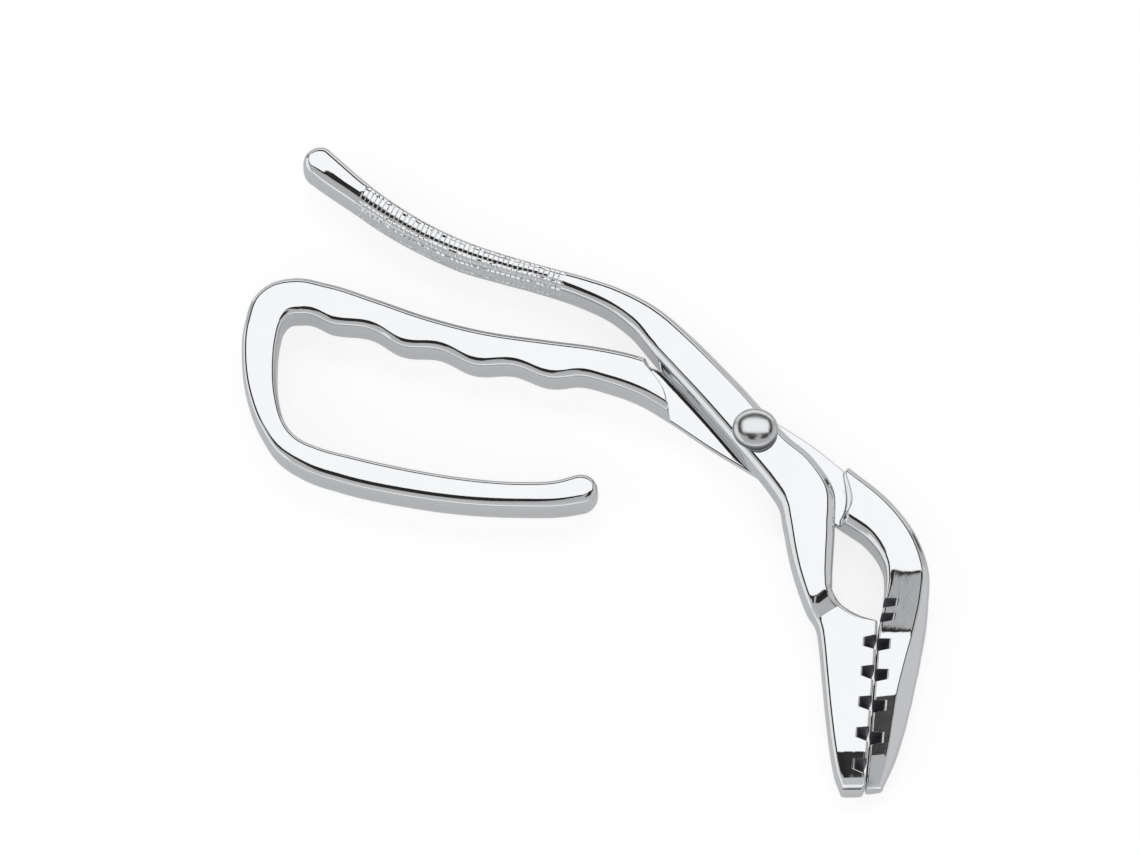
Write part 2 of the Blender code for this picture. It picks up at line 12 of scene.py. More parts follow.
import bmesh
import bpy
import numpy as np
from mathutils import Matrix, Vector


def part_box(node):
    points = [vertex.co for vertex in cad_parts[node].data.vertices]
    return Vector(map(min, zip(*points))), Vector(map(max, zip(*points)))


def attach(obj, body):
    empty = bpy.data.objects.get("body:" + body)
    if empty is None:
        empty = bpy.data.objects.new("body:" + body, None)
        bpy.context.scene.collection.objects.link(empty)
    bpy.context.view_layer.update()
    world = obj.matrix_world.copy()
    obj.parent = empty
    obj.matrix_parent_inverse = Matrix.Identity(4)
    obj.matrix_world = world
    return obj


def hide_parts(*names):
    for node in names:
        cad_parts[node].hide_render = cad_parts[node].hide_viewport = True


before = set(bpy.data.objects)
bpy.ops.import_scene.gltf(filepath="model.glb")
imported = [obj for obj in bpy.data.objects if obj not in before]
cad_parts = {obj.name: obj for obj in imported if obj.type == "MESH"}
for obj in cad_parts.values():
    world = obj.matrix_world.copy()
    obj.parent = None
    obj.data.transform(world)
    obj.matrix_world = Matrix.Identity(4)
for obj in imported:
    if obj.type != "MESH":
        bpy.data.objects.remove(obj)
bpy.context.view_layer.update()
MM = 0.001

# %% [markdown]
# ## Sizes that come from the frame
#
# The castings' thickness and the rivet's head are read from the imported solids, so the finished
# pieces lie exactly where the plain ones do. Everything below is in metres, except the outlines,
# which are written in millimetres because that is how a pattern maker would mark them out.

# %% Sizes
rear_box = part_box("rear_lever")
rivet_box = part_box("pivot_rivet")
washer_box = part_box("rivet_washer")
THICKNESS = rear_box[1][2]
MID = THICKNESS / 2
HEAD_RADIUS = (rivet_box[1][0] - rivet_box[0][0]) / 2
HEAD_TOP = rivet_box[1][2]
LAP_GAP = 0.0003  # play between the two lapped halves
SEAT_GAP = 0.0003  # round the shank, under the head and round the washer
SHANK_RADIUS = 0.0032
BEVEL_SLOPE = 0.75  # drop of a front bevel for each millimetre of its width
WALL_DRAFT = 0.0002  # a side wall swells this far from its bevel to the parting line
LEAST_WALL = 0.0002  # the parting line stays this far from the bevels
LAP_EDGE = 0.00030
LAP_EDGE_DROP = 0.00022
REAR_CHAMFER_WIDTH = 0.0019
REAR_CHAMFER_HEIGHT = 0.0033
SEAM_CHAMFER = 0.18  # share of the rear chamfer left along the closing line
TIP_CHAMFER = 0.30
JAW_STEP = 0.0018  # how far the front lever's jaw face lies below the joint
REAR_JAW_STEP = 0.0021
JAW_REAR_STEP = 0.0010  # how far both jaws' rear faces lie above the joint's
SHOULDER_BULGE = 0.0014  # how far the middle of a recess wall bows along the lever
FINGER_PITCH = 0.0180  # finger seats under the loop's upper bar
FINGER_SWELL = 0.0009
FIRST_SWELL = 0.0140  # from the start of the seats to the first crest
TOOTH_PITCH = 0.0078
NOTCH_DEPTH = 0.0026
NOTCH_MOUTH = 0.0037
JAW_GAP = 0.00005  # between the jaw faces, drawn tight so that the slit reads as closed
SEAM_BEVEL = 0.0004
JOINT_EDGE = 0.0300  # the handles are drawn in beyond this distance from the pivot
JAW_ROOT = 0.0500  # and the jaws beyond this one
HANDLE_SHARE = (0.1240 - JOINT_EDGE) / (0.1247 - JOINT_EDGE)  # finished reach over drawn reach
JAW_SHARE = (0.0915 - JAW_ROOT) / (0.0924 - JAW_ROOT)
print(f"thickness {THICKNESS / MM:.2f} mm, rivet head {2 * HEAD_RADIUS / MM:.1f} mm across")

# %% [markdown]
# ## Where the outlines come from
#
# Each lever is drawn as matched pairs of points on the left and right edge of its front face,
# walking from the handle's end to the jaw tip, with the bevel width beside each point.
# A smooth cubic through few points gives longer, quieter reflections than many points would:
# chrome shows every kink in an outline.

# %% Outline of the front lever
FRONT_STATIONS = (
    (-106.2, 79.2, -108.7, 74.1, 1.4, 1.4),
    (-103.6, 76.6, -106.2, 72.0, 1.4, 1.4),
    (-97.0, 70.1, -98.9, 66.4, 1.4, 1.4),
    (-89.8, 64.0, -91.4, 60.6, 1.4, 1.4),
    (-80.2, 57.3, -81.4, 54.3, 1.4, 1.5),
    (-70.6, 52.2, -71.4, 49.6, 1.4, 1.9),
    (-60.9, 48.4, -61.6, 46.0, 1.4, 1.5),
    (-51.2, 45.2, -51.8, 42.9, 1.4, 1.5),
    (-41.2, 42.1, -42.2, 39.1, 1.4, 1.3),
    (-32.9, 38.9, -34.6, 35.1, 1.4, 1.3),
    (-24.2, 33.6, -28.6, 30.2, 1.6, 1.5),
    (-15.2, 24.6, -24.4, 24.7, 1.8, 1.5),
    (-5.4, 13.0, -21.8, 21.2, 1.9, 1.5),
    (0.6, 5.3, -11.6, 8.4, 1.9, 1.5),
    (6.9, -2.4, -2.6, -3.6, 1.9, 1.5),
    (12.9, -8.6, 4.6, -13.6, 1.9, 1.6),
    (16.5, -15.4, 7.2, -18.2, 2.0, 1.7),
    (16.4, -24.8, 8.1, -23.2, 2.0, 1.7),
    (15.9, -32.4, 9.2, -32.0, 1.9, 1.5),
    (15.6, -38.6, 10.5, -38.6, 1.8, 1.3),
    (16.2, -42.6, 12.6, -45.6, 1.4, 1.2),
    (18.6, -45.6, 14.2, -48.6, 1.2, 1.2),
    (22.8, -48.4, 14.9, -51.0, 1.1, 1.2),
    (27.2, -49.6, 15.15, -53.2, 0.5, 1.2),
    (0.0, -63.0, 15.75, -63.6, 0.4, 1.2),
    (0.0, -74.0, 16.4, -74.6, 0.4, 1.2),
    (0.0, -83.4, 17.2, -83.4, 0.4, 1.2),
    (0.0, -88.2, 17.9, -88.3, 0.4, 1.1),
    (0.0, -91.2, 18.8, -91.2, 0.4, 1.0),
)
FRONT_LAP = (12, 17)
FRONT_STEP = 20
FRONT_SEAM = 23
FRONT_BROW = 26
FRONT_NOSE = 27
print("front lever drawn with", len(FRONT_STATIONS), "pairs of points")

# %% Outline of the rear lever
REAR_STATIONS = (
    (-41.2, -17.9, -43.0, -12.6, 1.2, 1.1),
    (-45.6, -18.7, -46.8, -13.8, 1.2, 1.1),
    (-56.3, -19.0, -57.0, -14.4, 1.2, 1.1),
    (-70.5, -18.2, -70.6, -13.2, 1.2, 1.1),
    (-84.8, -16.0, -83.7, -10.8, 1.2, 1.1),
    (-99.2, -12.5, -97.4, -7.4, 1.2, 1.1),
    (-108.6, -8.9, -105.9, -4.8, 1.2, 1.0),
    (-114.3, -4.9, -110.6, -2.4, 1.1, 1.0),
    (-118.6, 1.6, -114.0, 1.4, 1.0, 1.0),
    (-122.0, 10.4, -116.4, 8.8, 1.0, 1.0),
    (-123.7, 20.6, -117.3, 17.8, 1.0, 1.0),
    (-123.3, 30.4, -116.9, 26.2, 1.0, 1.0),
    (-121.2, 37.2, -115.8, 30.8, 1.1, 1.0),
    (-117.6, 40.4, -113.8, 33.2, 1.3, 1.0),
    (-112.8, 41.5, -110.9, 33.7, 1.5, 1.1),
    (-104.6, 39.9, -104.6, 32.5, 1.6, 1.2),
    (-93.2, 35.8, -92.4, 28.3, 1.6, 1.2),
    (-80.9, 31.0, -80.0, 24.0, 1.6, 1.2),
    (-66.3, 26.7, -64.6, 19.8, 1.6, 1.2),
    (-50.8, 24.1, -48.4, 16.8, 1.6, 1.2),
    (-38.6, 22.3, -34.8, 14.6, 1.5, 1.2),
    (-31.4, 20.7, -26.2, 11.0, 1.5, 1.3),
    (-26.7, 19.2, -20.6, 7.3, 1.5, 1.4),
    (-14.0, 13.2, -9.6, -0.9, 1.4, 1.5),
    (0.6, 6.0, 1.6, -8.6, 1.4, 1.5),
    (12.4, -2.2, 11.8, -15.8, 1.4, 1.5),
    (21.4, -10.6, 21.6, -22.8, 1.5, 1.6),
    (30.8, -19.6, 27.4, -27.8, 1.6, 1.5),
    (36.4, -28.6, 30.6, -33.8, 1.6, 1.3),
    (38.5, -37.0, 30.9, -39.0, 1.7, 0.9),
    (37.9, -43.4, 29.9, -44.2, 2.0, 0.4),
    (36.5, -49.6, 0.0, -50.6, 2.7, 0.4),
    (33.6, -59.8, 0.0, -60.6, 3.6, 0.4),
    (31.4, -68.4, 0.0, -69.0, 3.8, 0.4),
    (30.0, -76.0, 0.0, -76.4, 3.2, 0.4),
    (28.6, -83.6, 0.0, -84.0, 2.1, 0.4),
    (26.6, -90.2, 0.0, -91.0, 1.1, 0.4),
)
REAR_WAVE = (14, 20)
REAR_LAP = (22, 26)
REAR_RAMP = (29, 31)
REAR_BROW = 33
REAR_NOSE = 35
SEAM_TOP = (28.0, -49.6)
SEAM_TIP = (23.4, -91.5)
print("rear lever drawn with", len(REAR_STATIONS), "pairs of points")


# %% From marked points to smooth edges
def drawn_out(points):
    """Plan points, with x beyond JOINT_EDGE and y beyond JAW_ROOT shortened by the reach shares."""
    points = np.array(points, dtype=float)
    points[:, 0] += np.minimum(points[:, 0] + JOINT_EDGE, 0.0) * (HANDLE_SHARE - 1)
    points[:, 1] += np.minimum(points[:, 1] + JAW_ROOT, 0.0) * (JAW_SHARE - 1)
    return points


def edge_points(stations, column, seam_side):
    """One edge's points in metres; an x of 0 is put on the closing line, inset by half the gap."""
    points = []
    for station in stations:
        x, y = station[column], station[column + 1]
        if x == 0.0:
            share = (y - SEAM_TOP[1]) / (SEAM_TIP[1] - SEAM_TOP[1])
            x = SEAM_TOP[0] + share * (SEAM_TIP[0] - SEAM_TOP[0])
            x += seam_side * (JAW_GAP / 2 + SEAM_BEVEL + WALL_DRAFT) / MM
        points.append((x * MM, y * MM))
    return drawn_out(points)


def smooth_through(points, knots, at, corner=None):
    """Cubic through points at their knots: each slope is the weighted mean of its two chords."""
    points = np.asarray(points, dtype=float)
    if corner is not None:
        before = smooth_through(points[: corner + 1], knots[: corner + 1], at)
        after = smooth_through(points[corner:], knots[corner:], at)
        return np.where((at <= knots[corner])[:, None], before, after)
    steps = np.diff(knots)
    chords = np.diff(points, axis=0) / steps[:, None]
    weight = (steps[1:] / (steps[1:] + steps[:-1]))[:, None]
    slopes = np.vstack((chords[:1], chords[:-1] * weight + chords[1:] * (1 - weight), chords[-1:]))
    span = np.clip(np.searchsorted(knots, at, side="right") - 1, 0, len(steps) - 1)
    width = steps[span][:, None]
    t = ((at - knots[span]) / steps[span])[:, None]
    start, end = points[span], points[span + 1]
    bend = slopes[span] * width * t * (1 - t) ** 2 - slopes[span + 1] * width * (1 - t) * t * t
    return start + (end - start) * t * t * (3 - 2 * t) + bend


def knots_of(left, right):
    """Distance along the lever: running sum of the mean of the two edges' chords."""
    chord = (np.hypot(*np.diff(left, axis=0).T) + np.hypot(*np.diff(right, axis=0).T)) / 2
    return np.concatenate(([0.0], np.cumsum(chord)))


def side_of(edge, hand, places, soften=0.0009):
    """Outward unit normals in plan, averaged with Gaussian weights so that corners fan out."""
    along = np.gradient(edge, places, axis=0)
    along /= np.linalg.norm(along, axis=1)[:, None]
    out = hand * np.stack((-along[:, 1], along[:, 0]), axis=1)
    apart = places[:, None] - places[None, :]
    width = np.gradient(places)
    weights = np.exp(-((apart / soften) ** 2) / 2) * width[None, :]
    out = weights @ out
    return out / np.linalg.norm(out, axis=1)[:, None]


# %% [markdown]
# ## The section of a casting
#
# A die casting is never sharp. Its section here has ten corners: the two edges of the flat front
# face, the feet of the bevels, the parting line half way up, and the wide rear chamfers.
# Each corner is cut back and replaced by a small parabola, which is a quadratic Bezier curve, so
# every edge catches one thin line of light. The straight stretches get a point close to each
# corner, so that smooth shading doesn't smear the roundness over the flats.

# %% Rounded sections
CORNER_STEPS = 4
MOST_OF_STRETCH = 0.45  # a corner takes at most this share of the stretch beside it


def rounded_section(corners, radii, fills):
    """Closed sections (stations x points x 3) from corners (stations x corners x 3).

    Corner k becomes the parabola from P + r u to P + r v, where u and v point at its neighbours.
    A radius may be a pair, one for each side of the corner, and each may change along the lever.
    fills[k] lists the shares along the straight stretch after corner k that get a point.
    """
    count = corners.shape[1]
    t = np.linspace(0.0, 1.0, CORNER_STEPS + 1)[None, :, None]
    starts, ends, bows = [], [], []
    for k in range(count):
        point = corners[:, k]
        back = corners[:, k - 1] - point
        ahead = corners[:, (k + 1) % count] - point
        back_length = np.linalg.norm(back, axis=1)[:, None]
        ahead_length = np.linalg.norm(ahead, axis=1)[:, None]
        before, after = radii[k] if isinstance(radii[k], tuple) else (radii[k], radii[k])
        before, after = np.reshape(before, (-1, 1)), np.reshape(after, (-1, 1))
        start = point + back / back_length * np.minimum(before, MOST_OF_STRETCH * back_length)
        end = point + ahead / ahead_length * np.minimum(after, MOST_OF_STRETCH * ahead_length)
        bow = (1 - t) ** 2 * start[:, None] + 2 * t * (1 - t) * point[:, None] + t * t * end[:, None]
        starts.append(start)
        ends.append(end)
        bows.append(bow)
    pieces = []
    for k in range(count):
        pieces.append(bows[k])
        share = np.array(fills[k])[None, :, None]
        following = starts[(k + 1) % count][:, None]
        pieces.append(ends[k][:, None] + (following - ends[k][:, None]) * share)
    return np.concatenate(pieces, axis=1)


def section_corners(edges, feet, outs, bevels, heights, lap, chamfers):
    """Ten corners of each section, going from the left edge across the face and round.

    lap holds the shares of the front half and of the rear half that are cut away: both are 0 in a
    full section, and in between the corners slide to the remaining half's own edges.
    chamfers holds, for each side, the share of the full rear chamfer that is left there.
    feet holds the edges that the two lowest corners follow: those are never notched.
    """
    (left, right), (tops, bottom) = edges, heights
    front_cut, rear_cut = lap
    web_top = MID - LAP_GAP / 2
    web_bottom = MID + LAP_GAP / 2
    base = bottom + (web_bottom - bottom) * rear_cut
    corners = {}
    sides = zip(("left", "right"), (left, right), feet, outs, bevels, chamfers, tops)
    for name, edge, foot, out, bevel, chamfer, top in sides:
        crown = top + (web_top - top) * front_cut
        wall = bevel + WALL_DRAFT
        lip = (wall - LAP_EDGE) * front_cut
        foot_drop = bevel * BEVEL_SLOPE * (1 - front_cut) + LAP_EDGE_DROP * front_cut
        heel_in = REAR_CHAMFER_WIDTH * chamfer * (1 - rear_cut) + LAP_EDGE * rear_cut
        heel_up = REAR_CHAMFER_HEIGHT * chamfer * (1 - rear_cut) * (THICKNESS - 2 * bottom) / THICKNESS
        heel_up = heel_up + LAP_EDGE_DROP * rear_cut
        parting = (top + bottom) / 2
        parting = np.clip(parting, base + heel_up + LEAST_WALL, crown - foot_drop - LEAST_WALL)
        stack = (
            (edge, lip, crown),
            (edge, bevel + WALL_DRAFT * front_cut, crown - foot_drop),
            (edge, wall, parting),
            (foot, bevel + WALL_DRAFT * rear_cut, base + heel_up),
            (foot, bevel + WALL_DRAFT * rear_cut - heel_in, base),
        )
        corners[name] = [np.column_stack((start + out * a[:, None], z)) for start, a, z in stack]
    order = [corners["left"][0], *corners["right"], *corners["left"][:0:-1]]
    return np.stack(order, axis=1)


# %% [markdown]
# ## Ends, lids and the mesh
#
# The handle's end is rounded in plan, and the jaw tip is drawn in along a quarter ellipse.
# The grid of sections becomes a mesh in one call. The edges that stay sharp, in the notches and
# the knurling, are marked later, when the holes have been cut.

# %% Sweep helpers
START_STEPS = 18
LEAST_SQUARE = 0.7  # bounds a notch where a section runs slanting to its edge
END_DROP = 0.7  # a jaw tip's face comes down by this share of the tip's radius
END_RISE = 1.3


def round_start(sides, reach):
    """Stations added before the first, so that the flat face ends in a half ellipse.

    At angle a the edge stands half width * cos a from the middle and reach * sin a beyond it,
    and its outward normal has turned from sideways to straight ahead.
    """
    left, right = sides[:2]
    centre = (left[0] + right[0]) / 2
    half = np.linalg.norm(left[0] - right[0]) / 2
    across = (left[0] - right[0]) / (2 * half)
    ahead = np.array((-across[1], across[0]))
    ahead *= np.sign(ahead @ (left[0] - left[5]))
    angle = np.linspace(math.radians(89.0), 0.0, START_STEPS + 1)[:-1, None]
    forward = centre + ahead * reach * np.sin(angle)
    wide = across * half * np.cos(angle)
    tilt = np.arctan2(half * np.sin(angle), reach * np.cos(angle))
    normal_left = across * np.cos(tilt) + ahead * np.sin(tilt)
    normal_right = -across * np.cos(tilt) + ahead * np.sin(tilt)
    ends = (forward + wide, forward - wide, normal_left, normal_right)
    return [np.concatenate((end, side)) for end, side in zip(ends, sides)]


def held(values):
    """Values along a lever, or lists of them, the first repeated for the stations of the end."""
    if isinstance(values, (list, tuple)):
        return [held(each) for each in values]
    return np.concatenate((np.repeat(values[:1], START_STEPS), values))


def with_handle_end(edges, feet, outs, reach):
    """The edges, the unnotched edges and the outward normals, with the rounded end added."""
    left, right, *turned = round_start((*edges, *outs), reach)
    return (left, right), round_start((*feet, *outs), reach)[:2], turned


def read_edges(stations, marked, knots, places, corner=None):
    """Both edges at the given places, their outward normals, and the bevel widths beside them."""
    left = smooth_through(marked[0], knots, places, corner)
    right = smooth_through(marked[1], knots, places)
    outs = (side_of(left, 1, places), side_of(right, -1, places))
    bevels = [np.interp(places, knots, np.array(stations)[:, column] * MM) for column in (4, 5)]
    return left, right, outs, bevels


def pushed_in(edge, opposite, normal, depth):
    """Edge points moved towards the opposite edge until the cut is 'depth' deep along the normal."""
    towards = opposite - edge
    towards /= np.linalg.norm(towards, axis=1)[:, None]
    square = np.maximum(-(towards * normal).sum(axis=1), LEAST_SQUARE)
    return edge + towards * (depth / square)[:, None]


def rounded_end(row, outward, radius, slope, steps=12):
    """Sections drawn in on a quarter ellipse; the front face goes on falling at its own slope.

    At angle a the width has lost radius * (1 - cos a). A point has come down by
    radius * (slope * sin a + END_DROP * (1 - cos a)) times its share of the section's height, and
    up by radius * END_RISE * (1 - cos a) times the rest of it.
    """
    centre = (row.min(axis=0) + row.max(axis=0)) / 2
    low, high = row[:, 2].min(), row[:, 2].max()
    across = np.array((-outward[1], outward[0]))
    offset = row - centre
    wide = offset[:, :2] @ across
    deep = offset[:, :2] @ outward
    reach = np.abs(wide).max()
    angles = np.linspace(0.0, math.pi / 2, steps + 1)[1:, None]
    pull = radius * (1 - np.cos(angles))
    narrow = wide[None, :] * (reach - pull) / reach
    share = (row[None, :, 2] - low) / (high - low)
    drop = radius * (slope * np.sin(angles) + END_DROP * (1 - np.cos(angles))) * share
    height = row[None, :, 2] - drop + radius * END_RISE * (1 - np.cos(angles)) * (1 - share)
    forward = deep[None, :] * np.cos(angles) + radius * np.sin(angles)
    plan = centre[:2] + narrow[..., None] * across + forward[..., None] * outward
    return np.concatenate((plan, height[..., None]), axis=2)


def with_jaw_end(rows, recess, radius, slope):
    """The sections and their recess values, with the rounded jaw tip added."""
    end = rounded_end(rows[-1], np.array((0.0, -1.0)), radius, slope)
    held_on = np.repeat(recess[-1:], len(end), axis=0)
    return np.concatenate((rows, end)), np.concatenate((recess, held_on))


def notch_side(fills, side):
    """1 for the section points on the wall that holds the notches, and 0 for all the others."""
    counts = [CORNER_STEPS + 1 + len(shares) for shares in fills]
    owner = np.repeat(np.arange(len(fills)), counts)
    wanted = (2, 3, 4) if side == "right" else (7, 8, 9)
    return np.isin(owner, wanted).astype(float)


def swept_piece(name, rows, recess):
    """Mesh object from stacked closed sections, with a fan of triangles over each end.

    recess says how far each point is cut back; it is spread to the sections on either side and kept as an
    attribute, which the material reads to paint shade into the slots and to roughen them.
    """
    count, around = rows.shape[:2]
    index = np.arange(count * around).reshape(count, around)
    ahead = np.roll(index, -1, axis=1)
    quads = np.stack((index[:-1], ahead[:-1], ahead[1:], index[1:]), axis=-1).reshape(-1, 4)
    hubs = np.array((rows[0].mean(axis=0), rows[-1].mean(axis=0)))
    first = np.column_stack((ahead[0], index[0], np.full(around, count * around)))
    last = np.column_stack((index[-1], ahead[-1], np.full(around, count * around + 1)))
    points = np.concatenate((rows.reshape(-1, 3), hubs))
    mesh = bpy.data.meshes.new(name)
    mesh.from_pydata(points.tolist(), [], quads.tolist() + first.tolist() + last.tolist())
    spread = np.maximum.reduce([np.roll(recess, shift, axis=0) for shift in (-2, -1, 0, 1, 2)])
    values = np.concatenate((np.clip(spread / NOTCH_DEPTH, 0.0, 1.0).ravel(), (0.0, 0.0)))
    mesh.attributes.new("recess", "FLOAT", "POINT").data.foreach_set("value", values)
    return finished(name, mesh)


def finished(name, mesh):
    """The object for a mesh, with faces turned outwards and shaded smooth."""
    if signed_volume(mesh) < 0:
        mesh.flip_normals()
    mesh.shade_smooth()
    piece = bpy.data.objects.new(name, mesh)
    bpy.context.collection.objects.link(piece)
    print(f"{name}: {len(mesh.polygons)} faces, volume {abs(signed_volume(mesh)) * 1e6:.2f} cm3")
    return piece


def signed_volume(mesh):
    """Sum over triangles of a . (b x c) / 6, which is positive when faces point outwards."""
    mesh.calc_loop_triangles()
    corners = np.empty(len(mesh.loop_triangles) * 3, dtype=np.int32)
    mesh.loop_triangles.foreach_get("vertices", corners)
    points = np.empty(len(mesh.vertices) * 3)
    mesh.vertices.foreach_get("co", points)
    a, b, c = points.reshape(-1, 3)[corners.reshape(-1, 3)].transpose(1, 0, 2)
    return float(np.einsum("ij,ij->", a, np.cross(b, c)) / 6)


def bump_between(t, start, end, run):
    """1 between two places and 0 outside, eased over a length run inside each end."""
    ramp = np.clip(np.minimum(t - start, end - t) / run, 0.0, 1.0)
    return ramp * ramp * (3 - 2 * ramp)


SHOULDER_ROUND = 0.0006  # radius of a recess wall's upper edge
SHOULDER_FILLET = 0.0004
SHOULDER_LEAD = 0.0004  # the rounding starts this far outside the recess
SHOULDER_STEEPNESS = math.radians(77.0)


def shoulder_curve():
    """Distance and share of depth down a recess wall: a round edge, a steep wall, a fillet."""
    steep = SHOULDER_STEEPNESS
    angle = np.linspace(0.0, steep, 12)
    depth = MID + LAP_GAP / 2
    round_x = SHOULDER_ROUND * np.sin(angle) - SHOULDER_LEAD
    round_z = SHOULDER_ROUND * (1 - np.cos(angle))
    fillet_z = depth - SHOULDER_FILLET * (1 - np.cos(angle[::-1]))
    wall_x = (fillet_z[0] - round_z[-1]) / math.tan(steep)
    fillet_x = round_x[-1] + wall_x + SHOULDER_FILLET * (math.sin(steep) - np.sin(angle[::-1]))
    return np.concatenate((round_x, fillet_x)), np.concatenate((round_z, fillet_z)) / depth


def lap_cut(places, start, end):
    """Share of the recess depth along a lever: the shoulder curve inwards from both ends."""
    return np.interp(np.minimum(places - start, end - places), *shoulder_curve())


def merged(*groups):
    """Sorted places from several lists, with any closer than a hundredth of a millimetre merged."""
    places = np.sort(np.concatenate([np.asarray(group, dtype=float) for group in groups]))
    return places[np.concatenate(([True], np.diff(places) > 1e-5))]


# %% [markdown]
# ## Notches in the jaws
#
# The jaws grip a shell with a row of trapezoid notches, cast as open slots. In the upper jaw's
# throat there are two smaller ones. A notch is only a depth that depends on the distance along
# the closing line, so the edge curve is pushed in by that depth. Each point moves along its own
# section: pushed square to the edge, it would cross the next section and fold the face over.
# The sections are placed just before and after each notch corner, so that the walls stand
# upright, and the lowest corners stay where they are, which leaves each notch a sloping floor.

# %% Notch profile
FRONT_NOTCHES = [(0.0030 + TOOTH_PITCH * k, NOTCH_MOUTH) for k in range(5)]
REAR_NOTCHES = [(-0.0060 + 0.0036 * k, 0.0023) for k in range(2)]
REAR_NOTCHES += [(0.0039 + TOOTH_PITCH * k, 0.0032) for k in range(4)]
FRONT_FLOOR = (0.03, 0.68)  # start and end of a notch's flat floor, as shares of its mouth
REAR_FLOOR = (0.12, 0.92)
THROAT = 0.0120  # the notched edge is followed from this far above the jaw root
LEAST_SPACING = 0.0003  # no notch corner lies nearer the tip than this
FINE_STEPS = 9000  # points along an edge when a place on it is looked up


def notch_profile(notches, bottom):
    """Corner distances and depths of the slots; bottom gives the flat floor's share of a mouth."""
    distances, depths = [-1.0], [0.0]
    for start, mouth in notches:
        distances += [start, start + bottom[0] * mouth, start + bottom[1] * mouth, start + mouth]
        depths += [0.0, NOTCH_DEPTH, NOTCH_DEPTH, 0.0]
    return np.array(distances + [1.0]), np.array(depths + [0.0])


def notch_places(edge, places, profile, clear=0.00004):
    """Sweep places just before, at and just after each slot corner on a finely read edge."""
    distance = -JAW_ROOT - edge[:, 1]
    start = int(np.argmax(distance > -THROAT))
    corners = profile[0][(profile[0] > -0.5) & (profile[0] < distance.max() - LEAST_SPACING)]
    wanted = np.concatenate((corners - clear, corners, corners + clear))
    return np.interp(wanted, distance[start:], places[start:])


# %% [markdown]
# ## Front lever: the knurled grip
#
# Real knurling of this kind is a square grid of V grooves cut into the die, so the casting comes
# out with rows of small raised squares. It could be a bump texture, but the squares catch light
# on the outline too, so they are modelled: three sections to a square along the grip, and section
# points at the same shares round it. Every point on a groove line is pushed into the metal.
# The face falls off towards the grip's near edge in a gentle roll, such as a polishing wheel would
# leave. It is drawn by lowering the last millimetre or so of the face before knurling it.

# %% Build the front lever
KNURL_PITCH = 0.00130
KNURL_DEPTH = 0.00016
KNURL_SPAN = (0.0150, 0.0700)
KNURL_WEAR = 0.15  # how unevenly the grooves are cut, as a share of their depth
KNURL_GRAIN = 0.005 * MM  # how uneven the squares themselves are
GROOVE_SHARES = (0.0, 0.15, 0.85)
NEAR_SLOPE = 0.28
SECTION_STEP = 0.0005
GRIP_END = 0.0026  # how far the grip's rounded end reaches beyond the first section
FRONT_TIP = (0.0012, 1.1)  # radius of the jaw tip, and slope of its face where it starts
FRONT_BROW_DROP = 0.00050  # how far the jaw's face falls from its brow to its nose
FRONT_TIP_DROP = 0.00150
NEAR_ENDS = [0.08, 0.92]  # shares along a plain stretch that get a point
REAR_FACE = [0.03, 0.5, 0.97]
BACK_RADII = [0.0004, *[0.0009] * 4, 0.0004]  # parting line, rear chamfers, parting line


def knurl_places():
    """Places of the groove lines and of the two edges of each raised square, along the grip."""
    cells = np.arange(KNURL_SPAN[0], KNURL_SPAN[1], KNURL_PITCH)
    return (cells[:, None] + np.array(GROOVE_SHARES)[None, :] * KNURL_PITCH).ravel()


def cell_fill(cells):
    """Shares along a stretch that hold whole squares, and which of them are groove lines."""
    shares, grooves = [], []
    for cell in range(cells):
        for share in GROOVE_SHARES:
            if cell or share:
                shares.append((cell + share) / cells)
                grooves.append(share == 0.0)
    return shares, grooves


def groove_flags(fills, fill_grooves):
    """Which section points lie on a groove: the middle of each corner, and the marked fills."""
    flags = []
    for shares, grooves in zip(fills, fill_grooves):
        flags += [step == CORNER_STEPS // 2 for step in range(CORNER_STEPS + 1)]
        flags += list(grooves) if grooves else [False] * len(shares)
    return np.array(flags)


def surface_normals(rows):
    """Unit normals of a grid of sections: cross product of its two directions of travel."""
    down = np.gradient(rows, axis=0)
    round_about = np.roll(rows, -1, axis=1) - np.roll(rows, 1, axis=1)
    normal = np.cross(round_about, down)
    return normal / np.linalg.norm(normal, axis=2)[..., None]


